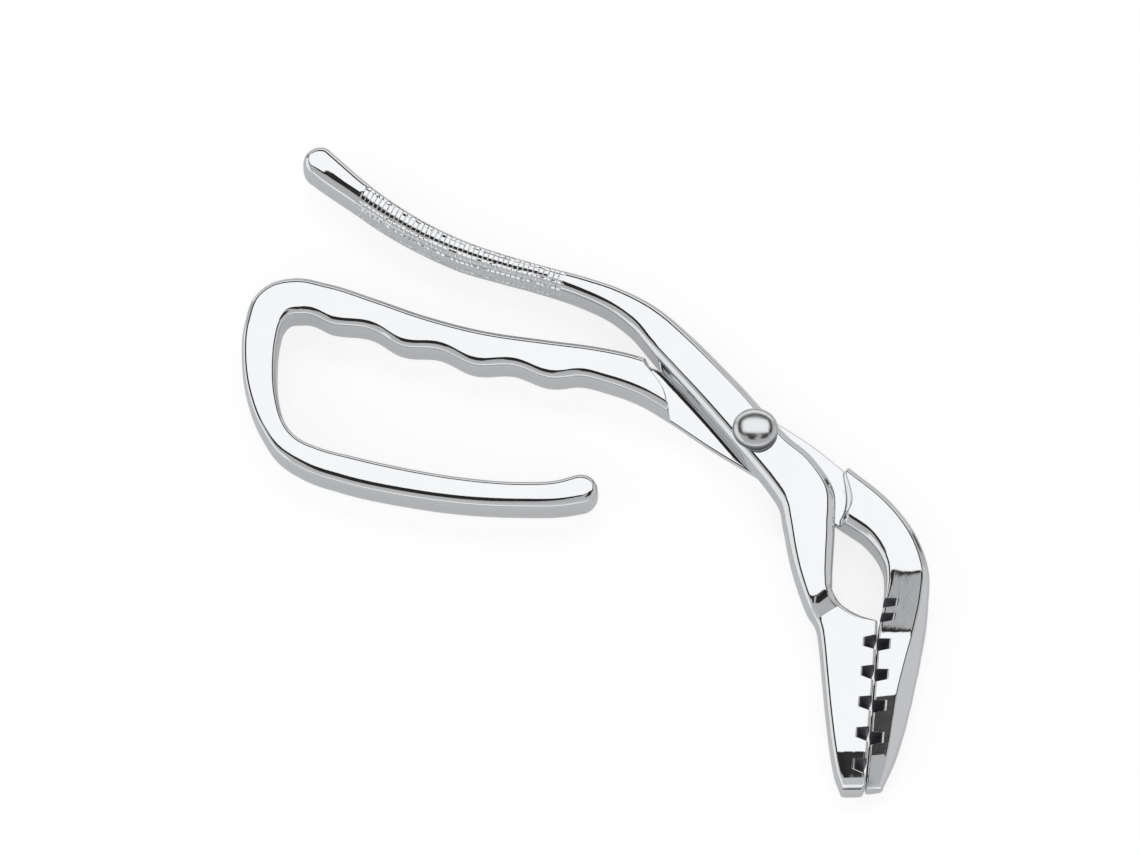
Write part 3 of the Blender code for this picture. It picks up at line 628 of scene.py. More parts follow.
def front_lever_piece():
    """The knurled lever: edges, heights, sections, notches, knurling and rounded ends."""
    marked = [edge_points(FRONT_STATIONS, column, -1) for column in (0, 2)]
    knots = knots_of(*marked)
    fine = np.linspace(0.0, knots[-1], FINE_STEPS)
    profile = notch_profile(FRONT_NOTCHES, FRONT_FLOOR)
    slots = notch_places(smooth_through(marked[0], knots, fine, FRONT_SEAM), fine, profile)
    grip = knurl_places()
    even = np.arange(0.0, knots[-1], SECTION_STEP)
    even = even[(even < grip[0] - 0.0002) | (even > grip[-1] + 0.0002)]
    marks = knots[[FRONT_STEP, FRONT_SEAM, FRONT_BROW, FRONT_NOSE]]
    places = merged(even, grip, slots, [knots[-1]], marks)
    left, right, outs, bevels = read_edges(FRONT_STATIONS, marked, knots, places, FRONT_SEAM)
    depth = np.interp(-JAW_ROOT - left[:, 1], *profile)
    whole = left
    left = pushed_in(left, right, outs[0], depth)
    jaw_top = THICKNESS - JAW_STEP
    step = knots[FRONT_STEP]
    slopes = (
        (step - 0.0015, THICKNESS),
        (step - 0.0008, THICKNESS - 0.00005),
        (step - 0.0001, THICKNESS - 0.00019),
        (step + 0.0006, THICKNESS - 0.00040),
        (step + 0.0013, THICKNESS - 0.00072),
        (knots[FRONT_STEP + 1], jaw_top),
        (knots[FRONT_BROW], jaw_top),
        (knots[FRONT_NOSE] + 0.0016, jaw_top - FRONT_BROW_DROP),
        (knots[-1], jaw_top - FRONT_TIP_DROP),
    )
    top = [np.interp(places, *zip(*slopes))] * 2
    bottom = np.interp(places, knots[[FRONT_STEP, FRONT_STEP + 1]], (0.0, JAW_REAR_STEP))
    rear_cut = lap_cut(places, knots[FRONT_LAP[0]], knots[FRONT_LAP[1]])
    chamfers = [
        np.interp(places, (step, step + 0.006), (1.0, SEAM_CHAMFER)),
        np.interp(places, (step, knots[-1]), (1.0, TIP_CHAMFER)),
    ]
    edges, feet, outs = with_handle_end((left, right), (whole, right), outs, GRIP_END)
    bevels, chamfers, heights, places, rear_cut = held([bevels, chamfers, [top, bottom], places, rear_cut])
    corners = section_corners(edges, feet, outs, bevels, heights, (0 * places, rear_cut), chamfers)
    flat, flat_grooves = cell_fill(2)
    bevel = [0.15, 0.85]
    wall, wall_grooves = cell_fill(3)
    far_wall = [1 - share for share in wall[::-1]]
    plain = NEAR_ENDS
    fills = [flat, bevel, wall, plain, plain, REAR_FACE, plain, plain, far_wall, bevel]
    grooves = [flat_grooves, None, wall_grooves, *[None] * 5, wall_grooves[::-1], None]
    edge = np.interp(places, (0.0600, 0.0720, knots[12]), (0.0004, 0.0014, 0.0012))
    seam_edge = np.interp(places, knots[[8, 12, 21, 22]], (0.0014, 0.0012, 0.0006, 0.0002))
    foot = np.interp(places, knots[[8, 12]], (0.0012, 0.0006))
    rows = rounded_section(corners, [(foot, seam_edge), (edge, foot), foot, *BACK_RADII, foot], fills)
    rows = rolled_edge(rows, places, *edges)
    rows = knurled(rows, places, grip, groove_flags(fills, grooves))
    # the notch depth, which the material turns into painted shade and a rougher finish in the slots
    recess = held(depth)[:, None] * notch_side(fills, "left")
    rows, recess = with_jaw_end(rows, recess, *FRONT_TIP)
    return swept_piece("front_casting", rows, recess)


def rolled_edge(rows, places, left, right):
    """Let the grip's face fall off evenly over its last millimetre or so towards the near edge.

    The drop grows with the distance past that line, and fades out down the side wall.
    """
    across = right - left
    across /= np.maximum(np.linalg.norm(across, axis=1), 1e-9)[:, None]
    beyond = np.einsum("ijk,ik->ij", rows[..., :2] - right[:, None, :], across)
    width = np.interp(places, (0.0, 0.0150, 0.0300), (0.0014, 0.0018, 0.0009))
    amount = np.interp(places, (0.0, 0.0040, 0.0600, 0.0720), (0.0, 1.0, 1.0, 0.0))
    ramp = np.clip(1 + beyond / width[:, None], 0.0, 1.0)
    upper = np.clip((rows[..., 2] - MID) / (THICKNESS - MID), 0.0, 1.0)
    rows[..., 2] -= NEAR_SLOPE * (width * amount)[:, None] * ramp * upper
    return rows


def knurled(rows, places, grip, around):
    """Push groove points in by KNURL_DEPTH along the normal; a worn die leaves each cell uneven."""
    inside = (places >= grip[0] - 1e-6) & (places <= grip[-1] + 1e-6)
    share = ((places - grip[0]) / KNURL_PITCH) % 1.0
    line = (np.minimum(share, 1 - share) < 0.02) & inside
    groove = (line[:, None] | around[None, :]) & inside[:, None]
    wear = np.random.default_rng(11).normal(0.0, 1.0, rows.shape[:2]) * inside[:, None]
    depth = KNURL_DEPTH * groove * (1 + KNURL_WEAR * wear) + KNURL_GRAIN * np.abs(wear)
    return rows - surface_normals(rows) * depth[..., None]


front_casting = front_lever_piece()

# %% [markdown]
# ## Rear lever: the finger loop
#
# The loop is one bar bent round the fingers and left open at the hook, so it can hang on a rail.
# Under its upper bar four shallow waves make seats for the fingers: the inner edge swells in and
# out by a sine wave. Where the levers cross, the bar is cast at half thickness, and the wall at
# each end of that recess bows a little, which is why the middle of the face is carried forward.

# %% Build the rear lever
FACE_FILL = [0.02] + [k / 12 for k in range(1, 12)] + [0.98]
WALL_FILL = [0.04, 0.5, 0.96]
LOOP_STEP = 0.0006
HOOK_END = 0.0030  # how far the hook's rounded end reaches beyond the first section
REAR_TIP = (0.0008, 0.5)
REAR_BROW_DROP = 0.0011
REAR_TIP_DROP = 0.0030
BOW_FADE = 0.008  # the recess walls' bow fades out over this distance
NOTCHED_BELOW = -0.04  # only the edge beyond this y is notched: the loop's bar is not


def neck_ramp(y):
    """Height of the rear lever's face down its neck: an even slope with both ends rounded."""
    marks = np.array((35.5, 36.1, 36.7, 37.3, 37.9, 50.9, 51.7, 52.5, 53.3, 54.1)) * -MM
    slope = np.array((0.0, 0.25, 0.5, 0.75, 1.0, 1.0, 0.75, 0.5, 0.25, 0.0))
    drops = np.concatenate(([0.0], np.cumsum(-np.diff(marks) * (slope[1:] + slope[:-1]) / 2)))
    drops *= REAR_JAW_STEP / drops[-1]
    return THICKNESS - np.interp(-y, -marks, drops)


def rear_lever_piece():
    """The loop lever: edges, finger waves, notches, ramps, sections and rounded ends."""
    marked = [edge_points(REAR_STATIONS, column, 1) for column in (0, 2)]
    knots = knots_of(*marked)
    fine = np.linspace(0.0, knots[-1], FINE_STEPS)
    profile = notch_profile(REAR_NOTCHES, REAR_FLOOR)
    slots = notch_places(smooth_through(marked[1], knots, fine), fine, profile)
    lap = (knots[REAR_LAP[0]], knots[REAR_LAP[1]])
    shoulder = shoulder_curve()[0]
    places = merged(
        np.arange(0.0, knots[-1], LOOP_STEP), slots, lap[0] + shoulder, lap[1] - shoulder,
        [knots[-1]], knots[list(REAR_RAMP) + [REAR_BROW, REAR_NOSE]],
    )
    left, right, outs, bevels = read_edges(REAR_STATIONS, marked, knots, places)
    first, last = knots[list(REAR_WAVE)]
    fade = np.minimum(places - first, last - places) / (FINGER_PITCH / 2)
    seat = (places - first - FIRST_SWELL) / FINGER_PITCH
    wave = -FINGER_SWELL * np.sin(2 * math.pi * seat) * np.clip(fade, 0.0, 1.0)
    depth = np.interp(-JAW_ROOT - right[:, 1], *profile) * (right[:, 1] < NOTCHED_BELOW)
    whole = right + outs[1] * wave[:, None]
    right = pushed_in(whole, left, outs[1], depth)
    past_loop = places > lap[1]
    nose = np.interp(places, knots[[REAR_BROW, REAR_NOSE, -1]], (0.0, -REAR_BROW_DROP, -REAR_TIP_DROP))
    top = [neck_ramp(np.where(past_loop, side[:, 1], 0.0)) + nose for side in (left, right)]
    bottom = np.interp(places, knots[list(REAR_RAMP)], (0.0, JAW_REAR_STEP))
    front_cut = lap_cut(places, *lap)
    root = knots[REAR_RAMP[0]]
    chamfers = [
        np.interp(places, (root, knots[-1]), (1.0, TIP_CHAMFER)),
        np.interp(places, (root - 0.003, root + 0.003), (1.0, SEAM_CHAMFER)),
    ]
    edges, feet, outs = with_handle_end((left, right), (left, whole), outs, HOOK_END)
    bevels, chamfers, heights, places, front_cut = held([bevels, chamfers, [top, bottom], places, front_cut])
    corners = section_corners(edges, feet, outs, bevels, heights, (front_cut, 0 * places), chamfers)
    plain, wall = NEAR_ENDS, WALL_FILL
    fills = [FACE_FILL, plain, wall, plain, plain, REAR_FACE, plain, plain, wall, plain]
    before_ramp = REAR_RAMP[0] - 1
    seam_edge = np.interp(places, knots[[before_ramp, before_ramp + 2]], (0.0014, 0.0002))
    outer_edge = np.interp(places, knots[[before_ramp, before_ramp + 1]], (0.0014, 0.0004))
    foot = 0.0006
    rows = rounded_section(corners, [(foot, outer_edge), (seam_edge, foot), foot, *BACK_RADII, foot], fills)
    near_lap = bump_between(places, lap[0] - BOW_FADE, lap[1] + BOW_FADE, BOW_FADE)
    rows = bowed(rows, *edges, SHOULDER_BULGE * near_lap)
    # the notch depth, which the material turns into painted shade and a rougher finish in the slots
    recess = held(depth)[:, None] * notch_side(fills, "right")
    rows, recess = with_jaw_end(rows, recess, *REAR_TIP)
    return swept_piece("rear_casting", rows, recess)


def bowed(rows, left, right, bow):
    """Carry the face's inner points along the lever by bow * sin(pi * share across)."""
    along = np.gradient((left + right) / 2, axis=0)
    along /= np.linalg.norm(along, axis=1)[:, None]
    first = CORNER_STEPS + 1
    share = np.array(FACE_FILL)
    shift = bow[:, None] * np.sin(math.pi * share)[None, :]
    rows[:, first:first + len(share), :2] += along[:, None] * shift[..., None]
    return rows


rear_casting = rear_lever_piece()

# %% [markdown]
# ## The rivet and its washer
#
# Round pieces are turned: a profile of radius and height is carried once round the pivot axis.
# The head is a shallow crown, flatter in the middle than a ball. A rivet set by hammer or press
# never comes out quite true, so the crown's top leans a millimetre to one side.
# Behind, the shank's end is upset over a washer and finished flush with the casting.
# The strip under the head's near lip gets painted shade: the recess attribute makes it darker and rougher
# there.

# %% Turned pieces
def turned_piece(name, profile, sides=160):
    """Surface of revolution: x = r cos a, y = r sin a, z = h, closed on the axis or on itself."""
    radius, height = np.array(profile).T
    angle = np.linspace(0.0, 2 * math.pi, sides, endpoint=False)[:, None]
    grid = np.stack((radius * np.cos(angle), radius * np.sin(angle), height + 0 * angle), axis=2)
    return swept_ring(name, grid)


def swept_ring(name, grid):
    """Mesh from a grid closed round the axis; points on the axis are merged into one."""
    sides, count = grid.shape[:2]
    index = np.arange(sides * count).reshape(sides, count)
    on_axis = np.hypot(grid[0, :, 0], grid[0, :, 1]) < 1e-7
    index[:, on_axis] = index[0, on_axis]
    ahead = np.roll(index, -1, axis=0)
    quads = np.stack((index[:, :-1], ahead[:, :-1], ahead[:, 1:], index[:, 1:]), axis=-1).reshape(-1, 4)
    faces = [list(dict.fromkeys(quad)) for quad in quads.tolist()]
    mesh = bpy.data.meshes.new(name)
    mesh.from_pydata(grid.reshape(-1, 3).tolist(), [], [face for face in faces if len(face) > 2])
    mesh.validate()
    drop_loose(mesh)
    piece = finished(name, mesh)
    mesh.set_sharp_from_angle(angle=math.radians(40))
    return piece


def drop_loose(mesh):
    """Remove the points that no face uses."""
    work = bmesh.new()
    work.from_mesh(mesh)
    loose = [vert for vert in work.verts if not vert.link_faces]
    bmesh.ops.delete(work, geom=loose, context="VERTS")
    work.to_mesh(mesh)
    work.free()


def arc(centre, radius, start, end, steps=8):
    """Points (r, h) on a circle in the profile, from one angle in degrees to another."""
    angle = np.radians(np.linspace(start, end, steps + 1))
    return list(zip(centre[0] + radius * np.cos(angle), centre[1] + radius * np.sin(angle)))


RIM = 0.0005
CROWN_POWER = 2.15
CROWN_LEAN = (0.0002, -0.0010)
TAIL_RADIUS = 0.0041
TAIL_HEIGHT = 0.0009
TAIL_ROLL = 0.00035
TAIL_FLAT = 0.0012  # ring of points that keeps the end's middle flat
BROKEN_EDGE = 0.0001
HEAD_EDGE = 0.0003


def rivet_profile():
    """Upset end, shank, head seat, rim, then the crown: (r/a)^n + (h/b)^n = 1, up to the axis."""
    seat = THICKNESS + SEAT_GAP
    points = [(0.0, 0.0), (TAIL_FLAT, 0.0)]
    points += arc((TAIL_RADIUS - TAIL_ROLL, TAIL_ROLL), TAIL_ROLL, -90, 0)
    points += [(TAIL_RADIUS, TAIL_HEIGHT - BROKEN_EDGE), (TAIL_RADIUS - BROKEN_EDGE, TAIL_HEIGHT)]
    points += [(SHANK_RADIUS, TAIL_HEIGHT), (SHANK_RADIUS, seat), (HEAD_RADIUS - HEAD_EDGE, seat)]
    points += [(HEAD_RADIUS, seat + HEAD_EDGE), (HEAD_RADIUS, seat + RIM)]
    angle = np.linspace(0.0, math.pi / 2, 31)[1:]
    radius = HEAD_RADIUS * np.cos(angle) ** (2 / CROWN_POWER)
    height = seat + RIM + (HEAD_TOP - seat - RIM) * np.sin(angle) ** (2 / CROWN_POWER)
    points += list(zip(radius[:-1], height[:-1]))
    return points + [(0.0, HEAD_TOP)]


def washer_profile():
    """A flat ring with its outer edges broken."""
    low, high = washer_box[0][2], washer_box[1][2]
    outer = (washer_box[1][0] - washer_box[0][0]) / 2
    inner = SHANK_RADIUS + SEAT_GAP
    edge = BROKEN_EDGE
    ring = [(inner, low), (outer - edge, low), (outer, low + edge), (outer, high - edge)]
    return ring + [(outer - edge, high), (inner, high), (inner, low)]


def leaning_rivet():
    """The rivet with its crown moved aside by CROWN_LEAN * (1 - (r/a)^2), and painted shade by its near lip.
    """
    piece = turned_piece("domed_rivet", rivet_profile())
    points = np.array([vertex.co[:] for vertex in piece.data.vertices])
    share = 1 - (np.hypot(points[:, 0], points[:, 1]) / HEAD_RADIUS) ** 2
    crown = points[:, 2] > THICKNESS + SEAT_GAP + RIM
    points[:, :2] += np.array(CROWN_LEAN) * (share * crown)[:, None]
    piece.data.vertices.foreach_set("co", points.ravel())
    # painted shade: the recess value is 1 on the head's lip, on the side towards -y, and darkens the rivet
    # there
    lip = np.clip((np.hypot(points[:, 0], points[:, 1]) / HEAD_RADIUS - 0.92) / 0.07, 0.0, 1.0)
    facing = np.clip(0.3 - points[:, 1] / HEAD_RADIUS, 0.0, 1.0)
    lip_shade = piece.data.attributes.new("recess", "FLOAT", "POINT")
    lip_shade.data.foreach_set("value", (lip * facing * (points[:, 2] > THICKNESS)).astype(np.float32))
    return piece


rivet = leaning_rivet()
washer = turned_piece("backing_washer", washer_profile())

# %% [markdown]
# ## The pivot holes
#
# The castings were swept solid, so the holes for the shank and the washer's pocket are cut with
# Boolean cylinders and applied at once. Only the pocket shows, and only from behind.
# Edges that turn by more than 21 degrees are then shaded sharp, which keeps the notches and the
# knurled squares crisp, and the flats are kept even by weighting their normals by area.

# %% Bore the castings
SHARP_ANGLE = math.radians(21)
CUT_OVERRUN = 0.001


def bored(piece, radius, low, high):
    """Cut a round hole on the pivot axis between two heights, and apply it."""
    cutter = turned_piece("cutter", [(0.0, low), (radius, low), (radius, high), (0.0, high)], 96)
    modifier = piece.modifiers.new("bore", "BOOLEAN")
    modifier.operation = "DIFFERENCE"
    modifier.solver = "EXACT"
    modifier.object = cutter
    graph = bpy.context.evaluated_depsgraph_get()
    made = bpy.data.meshes.new_from_object(piece.evaluated_get(graph))
    piece.modifiers.remove(modifier)
    old = piece.data
    piece.data = made
    made.name = piece.name
    bpy.data.meshes.remove(old)
    bpy.data.objects.remove(cutter)
    piece.data.set_sharp_from_angle(angle=SHARP_ANGLE)
    shading = piece.modifiers.get("even_shading")
    shading = shading or piece.modifiers.new("even_shading", "WEIGHTED_NORMAL")
    shading.keep_sharp = True


pocket_top = washer_box[1][2] + SEAT_GAP
washer_radius = (washer_box[1][0] - washer_box[0][0]) / 2
bored(front_casting, SHANK_RADIUS + SEAT_GAP, MID - CUT_OVERRUN, THICKNESS + CUT_OVERRUN)
bored(rear_casting, SHANK_RADIUS + SEAT_GAP, -CUT_OVERRUN, MID + CUT_OVERRUN)
bored(rear_casting, washer_radius + SEAT_GAP, -CUT_OVERRUN, pocket_top)
for casting in (front_casting, rear_casting):
    print(casting.name, len(casting.data.polygons), "recess kept:", "recess" in casting.data.attributes)

# %% Seat the pieces in the frame
for piece, node, body, slot in (
    (front_casting, "front_lever", "grip_lever", "front_chrome"),
    (rear_casting, "rear_lever", "loop_lever", "rear_chrome"),
    (rivet, "pivot_rivet", "loop_lever", "rivet_steel"),
    (washer, "rivet_washer", "loop_lever", "washer_steel"),
):
    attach(piece, body)
    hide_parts(node)
    corners = np.array([vertex.co[:] for vertex in piece.data.vertices])
    low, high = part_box(node)
    off = np.abs(np.concatenate((corners.min(axis=0) - low, corners.max(axis=0) - high))).max()
    print(f"{piece.name} is within {off / MM:.2f} mm of {node}")


# %% [markdown]
# ## Chrome
#
# Chromium plate is nearly a mirror, so most of its look is in what it reflects. What tells it
# from a perfect mirror is the casting under it: a faint long ripple, and a fine pitting that
# breaks up the edges of reflections. Both are built once as a node group that gives a height.
# Plating is thin and rough at the bottom of a slot, because the current hardly reaches it. The recess
# attribute says where that is: there the roughness rises, and the tint is darkened as painted shade, in the
# slots and under the rivet head's near lip.

# %% Node helpers
def add(tree, kind, **settings):
    """A new node; settings are attributes, or input values where the name matches a socket."""
    node = tree.nodes.new(kind)
    for key, value in settings.items():
        if hasattr(node, key):
            setattr(node, key, value)
        else:
            node.inputs[key.replace("_", " ")].default_value = value
    return node


def new_group(name, inputs, outputs):
    """An empty shader group with named float inputs and the named outputs."""
    group = bpy.data.node_groups.new(name, "ShaderNodeTree")
    for label, default in inputs:
        socket = group.interface.new_socket(name=label, in_out="INPUT", socket_type="NodeSocketFloat")
        socket.default_value = default
    for label, kind in outputs:
        group.interface.new_socket(name=label, in_out="OUTPUT", socket_type=kind)
    return group, add(group, "NodeGroupInput"), add(group, "NodeGroupOutput")


def wire(tree, *pairs):
    """Link an output to an input, for each pair."""
    for source, target in pairs:
        tree.links.new(source, target)


def maths(tree, operation, *values):
    """Output of a Math node; each value is a number or another node's output."""
    node = add(tree, "ShaderNodeMath", operation=operation)
    for socket, value in zip(node.inputs, values):
        if isinstance(value, float):
            socket.default_value = value
        else:
            tree.links.new(value, socket)
    return node.outputs[0]


# %% Casting texture group
def casting_texture_group():
    """Height = ripple * long noise + pitting * fine noise; Smudge = soft patches from handling."""
    group, given, out = new_group(
        "casting texture",
        [("Ripple", 1.0), ("Pitting", 1.0)],
        [("Height", "NodeSocketFloat"), ("Smudge", "NodeSocketFloat")],
    )
    place = add(group, "ShaderNodeTexCoord")
    noises = []
    for scale, detail, rough in ((90.0, 1.0, 0.4), (700.0, 3.0, 0.6), (35.0, 3.0, 0.6)):
        noise = add(group, "ShaderNodeTexNoise", Scale=scale, Detail=detail, Roughness=rough)
        wire(group, (place.outputs["Object"], noise.inputs["Vector"]))
        noises.append(noise.outputs["Fac"])
    long_noise, fine_noise, patches = noises
    ripple = maths(group, "MULTIPLY", long_noise, given.outputs["Ripple"])
    pitting = maths(group, "MULTIPLY", fine_noise, given.outputs["Pitting"])
    height = maths(group, "ADD", ripple, pitting)
    wire(group, (height, out.inputs["Height"]), (patches, out.inputs["Smudge"]))
    return group


casting_texture = casting_texture_group()


# %% Chrome material
HANDLED_TINT = 0.965  # smudged chrome is this much darker
HANDLED_ROUGHNESS = 1.8
BUMP_HEIGHT = 0.00002
CASTING_COLOUR = (0.80, 0.805, 0.812)
# roughness, ripple, pitting, the tint of the painted shade in the slots (0.34), and the extra roughness
# there
CASTING_FINISH = (0.04, 1.0, 0.38, 0.34, 0.50)


def chrome(name, colour, roughness, ripple, pitting, dark, matt):
    """Plated metal: a clean tint, roughness that the smudges lift a little, casting relief.

    Where the recess attribute is 1 the tint becomes 'dark', which is painted shade, and the roughness rises
    by 'matt'.
    """
    made = bpy.data.materials.new(name)
    made.use_nodes = True
    tree = made.node_tree
    shader = tree.nodes["Principled BSDF"]
    shader.inputs["Metallic"].default_value = 1.0
    texture = add(tree, "ShaderNodeGroup", node_tree=casting_texture)
    texture.inputs["Ripple"].default_value = ripple
    texture.inputs["Pitting"].default_value = pitting
    smudge = texture.outputs["Smudge"]
    tint = add(tree, "ShaderNodeMix", data_type="RGBA")
    tint.inputs["A"].default_value = (*[channel * HANDLED_TINT for channel in colour], 1.0)
    tint.inputs["B"].default_value = (*colour, 1.0)
    rough = add(tree, "ShaderNodeMapRange", From_Min=0.35, From_Max=0.75)
    rough.inputs["To Min"].default_value = roughness
    rough.inputs["To Max"].default_value = roughness * HANDLED_ROUGHNESS
    recess = add(tree, "ShaderNodeAttribute", attribute_name="recess").outputs["Fac"]
    # painted shade: the tint mixes towards 'dark' where the recess attribute is set
    recess_shade = add(tree, "ShaderNodeMix", data_type="RGBA")
    recess_shade.inputs["B"].default_value = (dark, 1.025 * dark, 1.075 * dark, 1.0)
    bump = add(tree, "ShaderNodeBump")
    bump.inputs["Distance"].default_value = BUMP_HEIGHT
    wire(
        tree,
        (smudge, tint.inputs["Factor"]),
        (tint.outputs["Result"], recess_shade.inputs["A"]),
        (recess, recess_shade.inputs["Factor"]),
        (recess_shade.outputs["Result"], shader.inputs["Base Color"]),
        (smudge, rough.inputs["Value"]),
        (maths(tree, "MULTIPLY_ADD", recess, matt, rough.outputs["Result"]), shader.inputs["Roughness"]),
        (texture.outputs["Height"], bump.inputs["Height"]),
        (bump.outputs["Normal"], shader.inputs["Normal"]),
    )
    return made


for piece, made in (
    (front_casting, chrome("bright_chrome_front", CASTING_COLOUR, *CASTING_FINISH)),
    (rear_casting, chrome("bright_chrome_rear", CASTING_COLOUR, *CASTING_FINISH)),
    # the rivet's 'dark' tint of 0.20 is painted shade under its near lip
    (rivet, chrome("polished_rivet", (0.74, 0.745, 0.75), 0.15, 0.6, 1.0, 0.20, 0.30)),
    (washer, chrome("plain_washer", (0.60, 0.60, 0.61), 0.28, 0.6, 1.5, 0.20, 0.30)),
):
    piece.data.materials.clear()
    piece.data.materials.append(made)
print("materials:", [material.name for material in bpy.data.materials])

# %% [markdown]
# ## Light and floor
#
# Chrome is lit by what surrounds it. A white softbox is hung behind and above the tool, tilted so
# that every flat face mirrors it. Black cards round the box draw the dark lines that give chrome
# its bite, and beyond them the room is a plain grey. Bright panels to the left and right light the
# edges, and low ones with a dark strip under them keep the side walls from going flat. The cards
# are a world of directions, so they need no objects: each is a span of two ratios.

# %% Surroundings
def band(tree, value, low, high, soft):
    """1 while value is between low and high, with smooth steps of width 2 * soft at both ends."""
    rise = add(tree, "ShaderNodeMapRange", interpolation_type="SMOOTHSTEP")
    fall = add(tree, "ShaderNodeMapRange", interpolation_type="SMOOTHSTEP")
    for node, edge, start in ((rise, low, 0.0), (fall, high, 1.0)):
        node.inputs["From Min"].default_value = edge - soft
        node.inputs["From Max"].default_value = edge + soft
        node.inputs["To Min"].default_value = start
        node.inputs["To Max"].default_value = 1.0 - start
        tree.links.new(value, node.inputs["Value"])
    return maths(tree, "MULTIPLY", rise.outputs["Result"], fall.outputs["Result"])


def direction_ratios(tree, parts, over, sign):
    """The direction's other two components divided by one of them, which is kept positive."""
    down = maths(tree, "MULTIPLY", parts.outputs[over], sign)
    safe = maths(tree, "MAXIMUM", down, 0.001)
    others = [name for name in ("X", "Y", "Z") if name != over]
    return [maths(tree, "DIVIDE", parts.outputs[axis], safe) for axis in others]


# Each card is: the axis it faces, its sign, the spans of the two other directions' ratios,
# how much the second span's lower edge rises with the first ratio, the softness of its edge,
# and its brightness. Later cards cover earlier ones.
CARDS = (
    ("Y", -1.0, (-3.0, 3.0), (-0.5, 1.2), 0.0, 0.50, 0.62),
    ("Y", -1.0, (-3.0, 3.0), (-0.30, 0.09), 0.0, 0.02, 0.08),
    ("Y", 1.0, (-3.0, 3.0), (-0.30, 0.09), 0.0, 0.02, 0.08),
    ("Y", -1.0, (-1.6, 1.6), (0.15, 0.50), 0.0, 0.03, 1.05),
    ("Y", 1.0, (-0.9, 0.9), (0.15, 0.45), 0.0, 0.03, 1.05),
    ("Z", 1.0, (-0.35, 0.60), (-0.055, 0.60), 3.2, 0.02, 0.025),
    ("Z", 1.0, (0.24, 0.76), (-0.17, 0.60), 0.0, 0.03, 0.025),
    ("Z", 1.0, (-0.75, -0.25), (0.09, 0.60), 0.0, 0.03, 0.025),
    ("Z", 1.0, (-1.10, 1.20), (0.24, 1.90), 0.0, 0.03, 0.025),
    ("Z", 1.0, (-0.56, 0.66), (0.30, 1.15), 0.0, 0.012, 1.16),
    ("X", -1.0, (-0.70, 0.80), (0.12, 0.80), 0.0, 0.03, 0.95),
    ("X", 1.0, (-0.50, 0.60), (0.10, 0.60), 0.0, 0.10, 0.66),
)
ROOM = 0.52
SLANT_SPAN = (-0.06, 0.10)
ROOM_TINT = (0.993, 1.0, 1.008)


def slanted(tree, ratios, slant):
    """The second ratio, lowered by slant times the first, which is held within SLANT_SPAN."""
    held_back = add(tree, "ShaderNodeClamp", Min=SLANT_SPAN[0], Max=SLANT_SPAN[1])
    tree.links.new(ratios[0], held_back.inputs["Value"])
    return maths(tree, "MULTIPLY_ADD", held_back.outputs[0], -slant, ratios[1])


def studio():
    """The room as seen from the tool: a grey tone, and cards laid over it one after another."""
    world = bpy.data.worlds.new("studio")
    world.use_nodes = True
    tree = world.node_tree
    place = add(tree, "ShaderNodeTexCoord")
    parts = add(tree, "ShaderNodeSeparateXYZ")
    tree.links.new(place.outputs["Generated"], parts.inputs["Vector"])
    tone = None
    for over, sign, first, second, slant, soft, brightness in CARDS:
        ratios = direction_ratios(tree, parts, over, sign)
        if slant:
            ratios[1] = slanted(tree, ratios, slant)
        spans = (band(tree, ratios[0], *first, soft), band(tree, ratios[1], *second, soft))
        laid = add(tree, "ShaderNodeMix", data_type="FLOAT")
        tree.links.new(maths(tree, "MULTIPLY", *spans), laid.inputs["Factor"])
        if tone is None:
            laid.inputs["A"].default_value = ROOM
        else:
            tree.links.new(tone, laid.inputs["A"])
        laid.inputs["B"].default_value = brightness
        tone = laid.outputs["Result"]
    tint = add(tree, "ShaderNodeVectorMath", operation="SCALE")
    tint.inputs[0].default_value = ROOM_TINT
    tree.links.new(tone, tint.inputs["Scale"])
    tree.links.new(tint.outputs[0], tree.nodes["Background"].inputs["Color"])
    bpy.context.scene.world = world
    return world


studio()


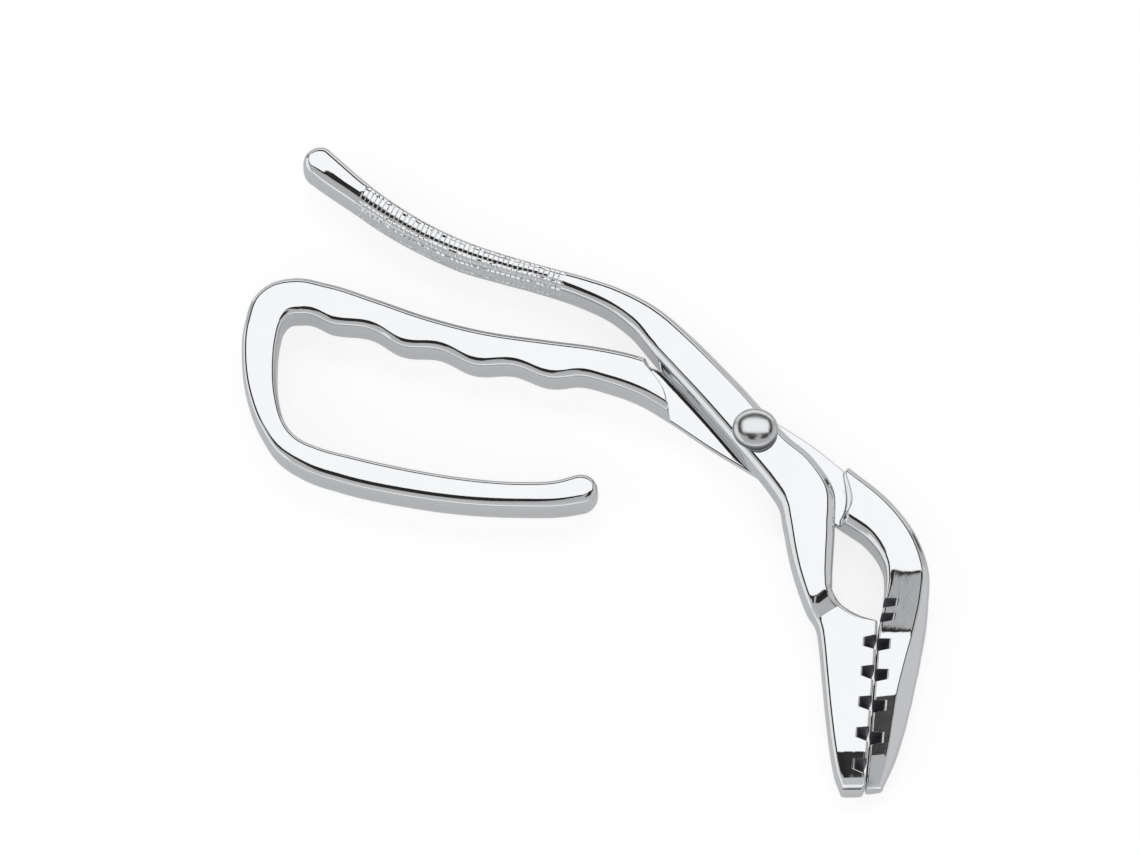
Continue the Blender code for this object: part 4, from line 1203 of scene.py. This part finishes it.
# %% Floor
FLOOR_REACH = 1.5
FLOOR_HEIGHT = -0.0002  # just under the castings, so that the two never share a surface
FLOOR_GLOW = 0.72  # its own light as the camera sees it
FLOOR_IN_CHROME = 0.30


def floor():
    """A pale sheet: lit from below where it is looked at, plain grey in the chrome's reflections."""
    signs = ((-1, -1), (1, -1), (1, 1), (-1, 1))
    corners = [(x * FLOOR_REACH, y * FLOOR_REACH, FLOOR_HEIGHT) for x, y in signs]
    mesh = bpy.data.meshes.new("floor")
    mesh.from_pydata(corners, [], [(0, 1, 2, 3)])
    made = bpy.data.materials.new("pale_sheet")
    made.use_nodes = True
    tree = made.node_tree
    shader = tree.nodes["Principled BSDF"]
    shader.inputs["Base Color"].default_value = (0.50, 0.505, 0.515, 1.0)
    shader.inputs["Roughness"].default_value = 0.9
    path = add(tree, "ShaderNodeLightPath")
    glow = add(tree, "ShaderNodeEmission", Strength=FLOOR_GLOW)
    dim = add(tree, "ShaderNodeEmission", Strength=FLOOR_IN_CHROME)
    seen = add(tree, "ShaderNodeMixShader")
    total = add(tree, "ShaderNodeAddShader")
    wire(
        tree,
        (path.outputs["Is Camera Ray"], seen.inputs[0]),
        (dim.outputs[0], seen.inputs[1]),
        (glow.outputs[0], seen.inputs[2]),
        (shader.outputs[0], total.inputs[0]),
        (seen.outputs[0], total.inputs[1]),
        (total.outputs[0], tree.nodes["Material Output"].inputs["Surface"]),
    )
    mesh.materials.append(made)
    sheet = bpy.data.objects.new("floor", mesh)
    bpy.context.collection.objects.link(sheet)
    return sheet


floor()

# %% Camera
TILT = math.radians(28.0)
DISTANCE = 0.93
FOCAL_LENGTH = 122.4  # in millimetres, on a frame 36 mm wide
camera_data = bpy.data.cameras.new("camera")
camera_data.lens = FOCAL_LENGTH
camera_data.sensor_width = 36.0
camera = bpy.data.objects.new("camera", camera_data)
aim = (-0.0444, 0.0008, THICKNESS)
camera.location = (aim[0], aim[1] - DISTANCE * math.sin(TILT), aim[2] + DISTANCE * math.cos(TILT))
camera.rotation_euler = (TILT, 0.0, 0.0)
bpy.context.collection.objects.link(camera)
bpy.context.scene.camera = camera
bpy.context.scene.view_settings.view_transform = "Standard"
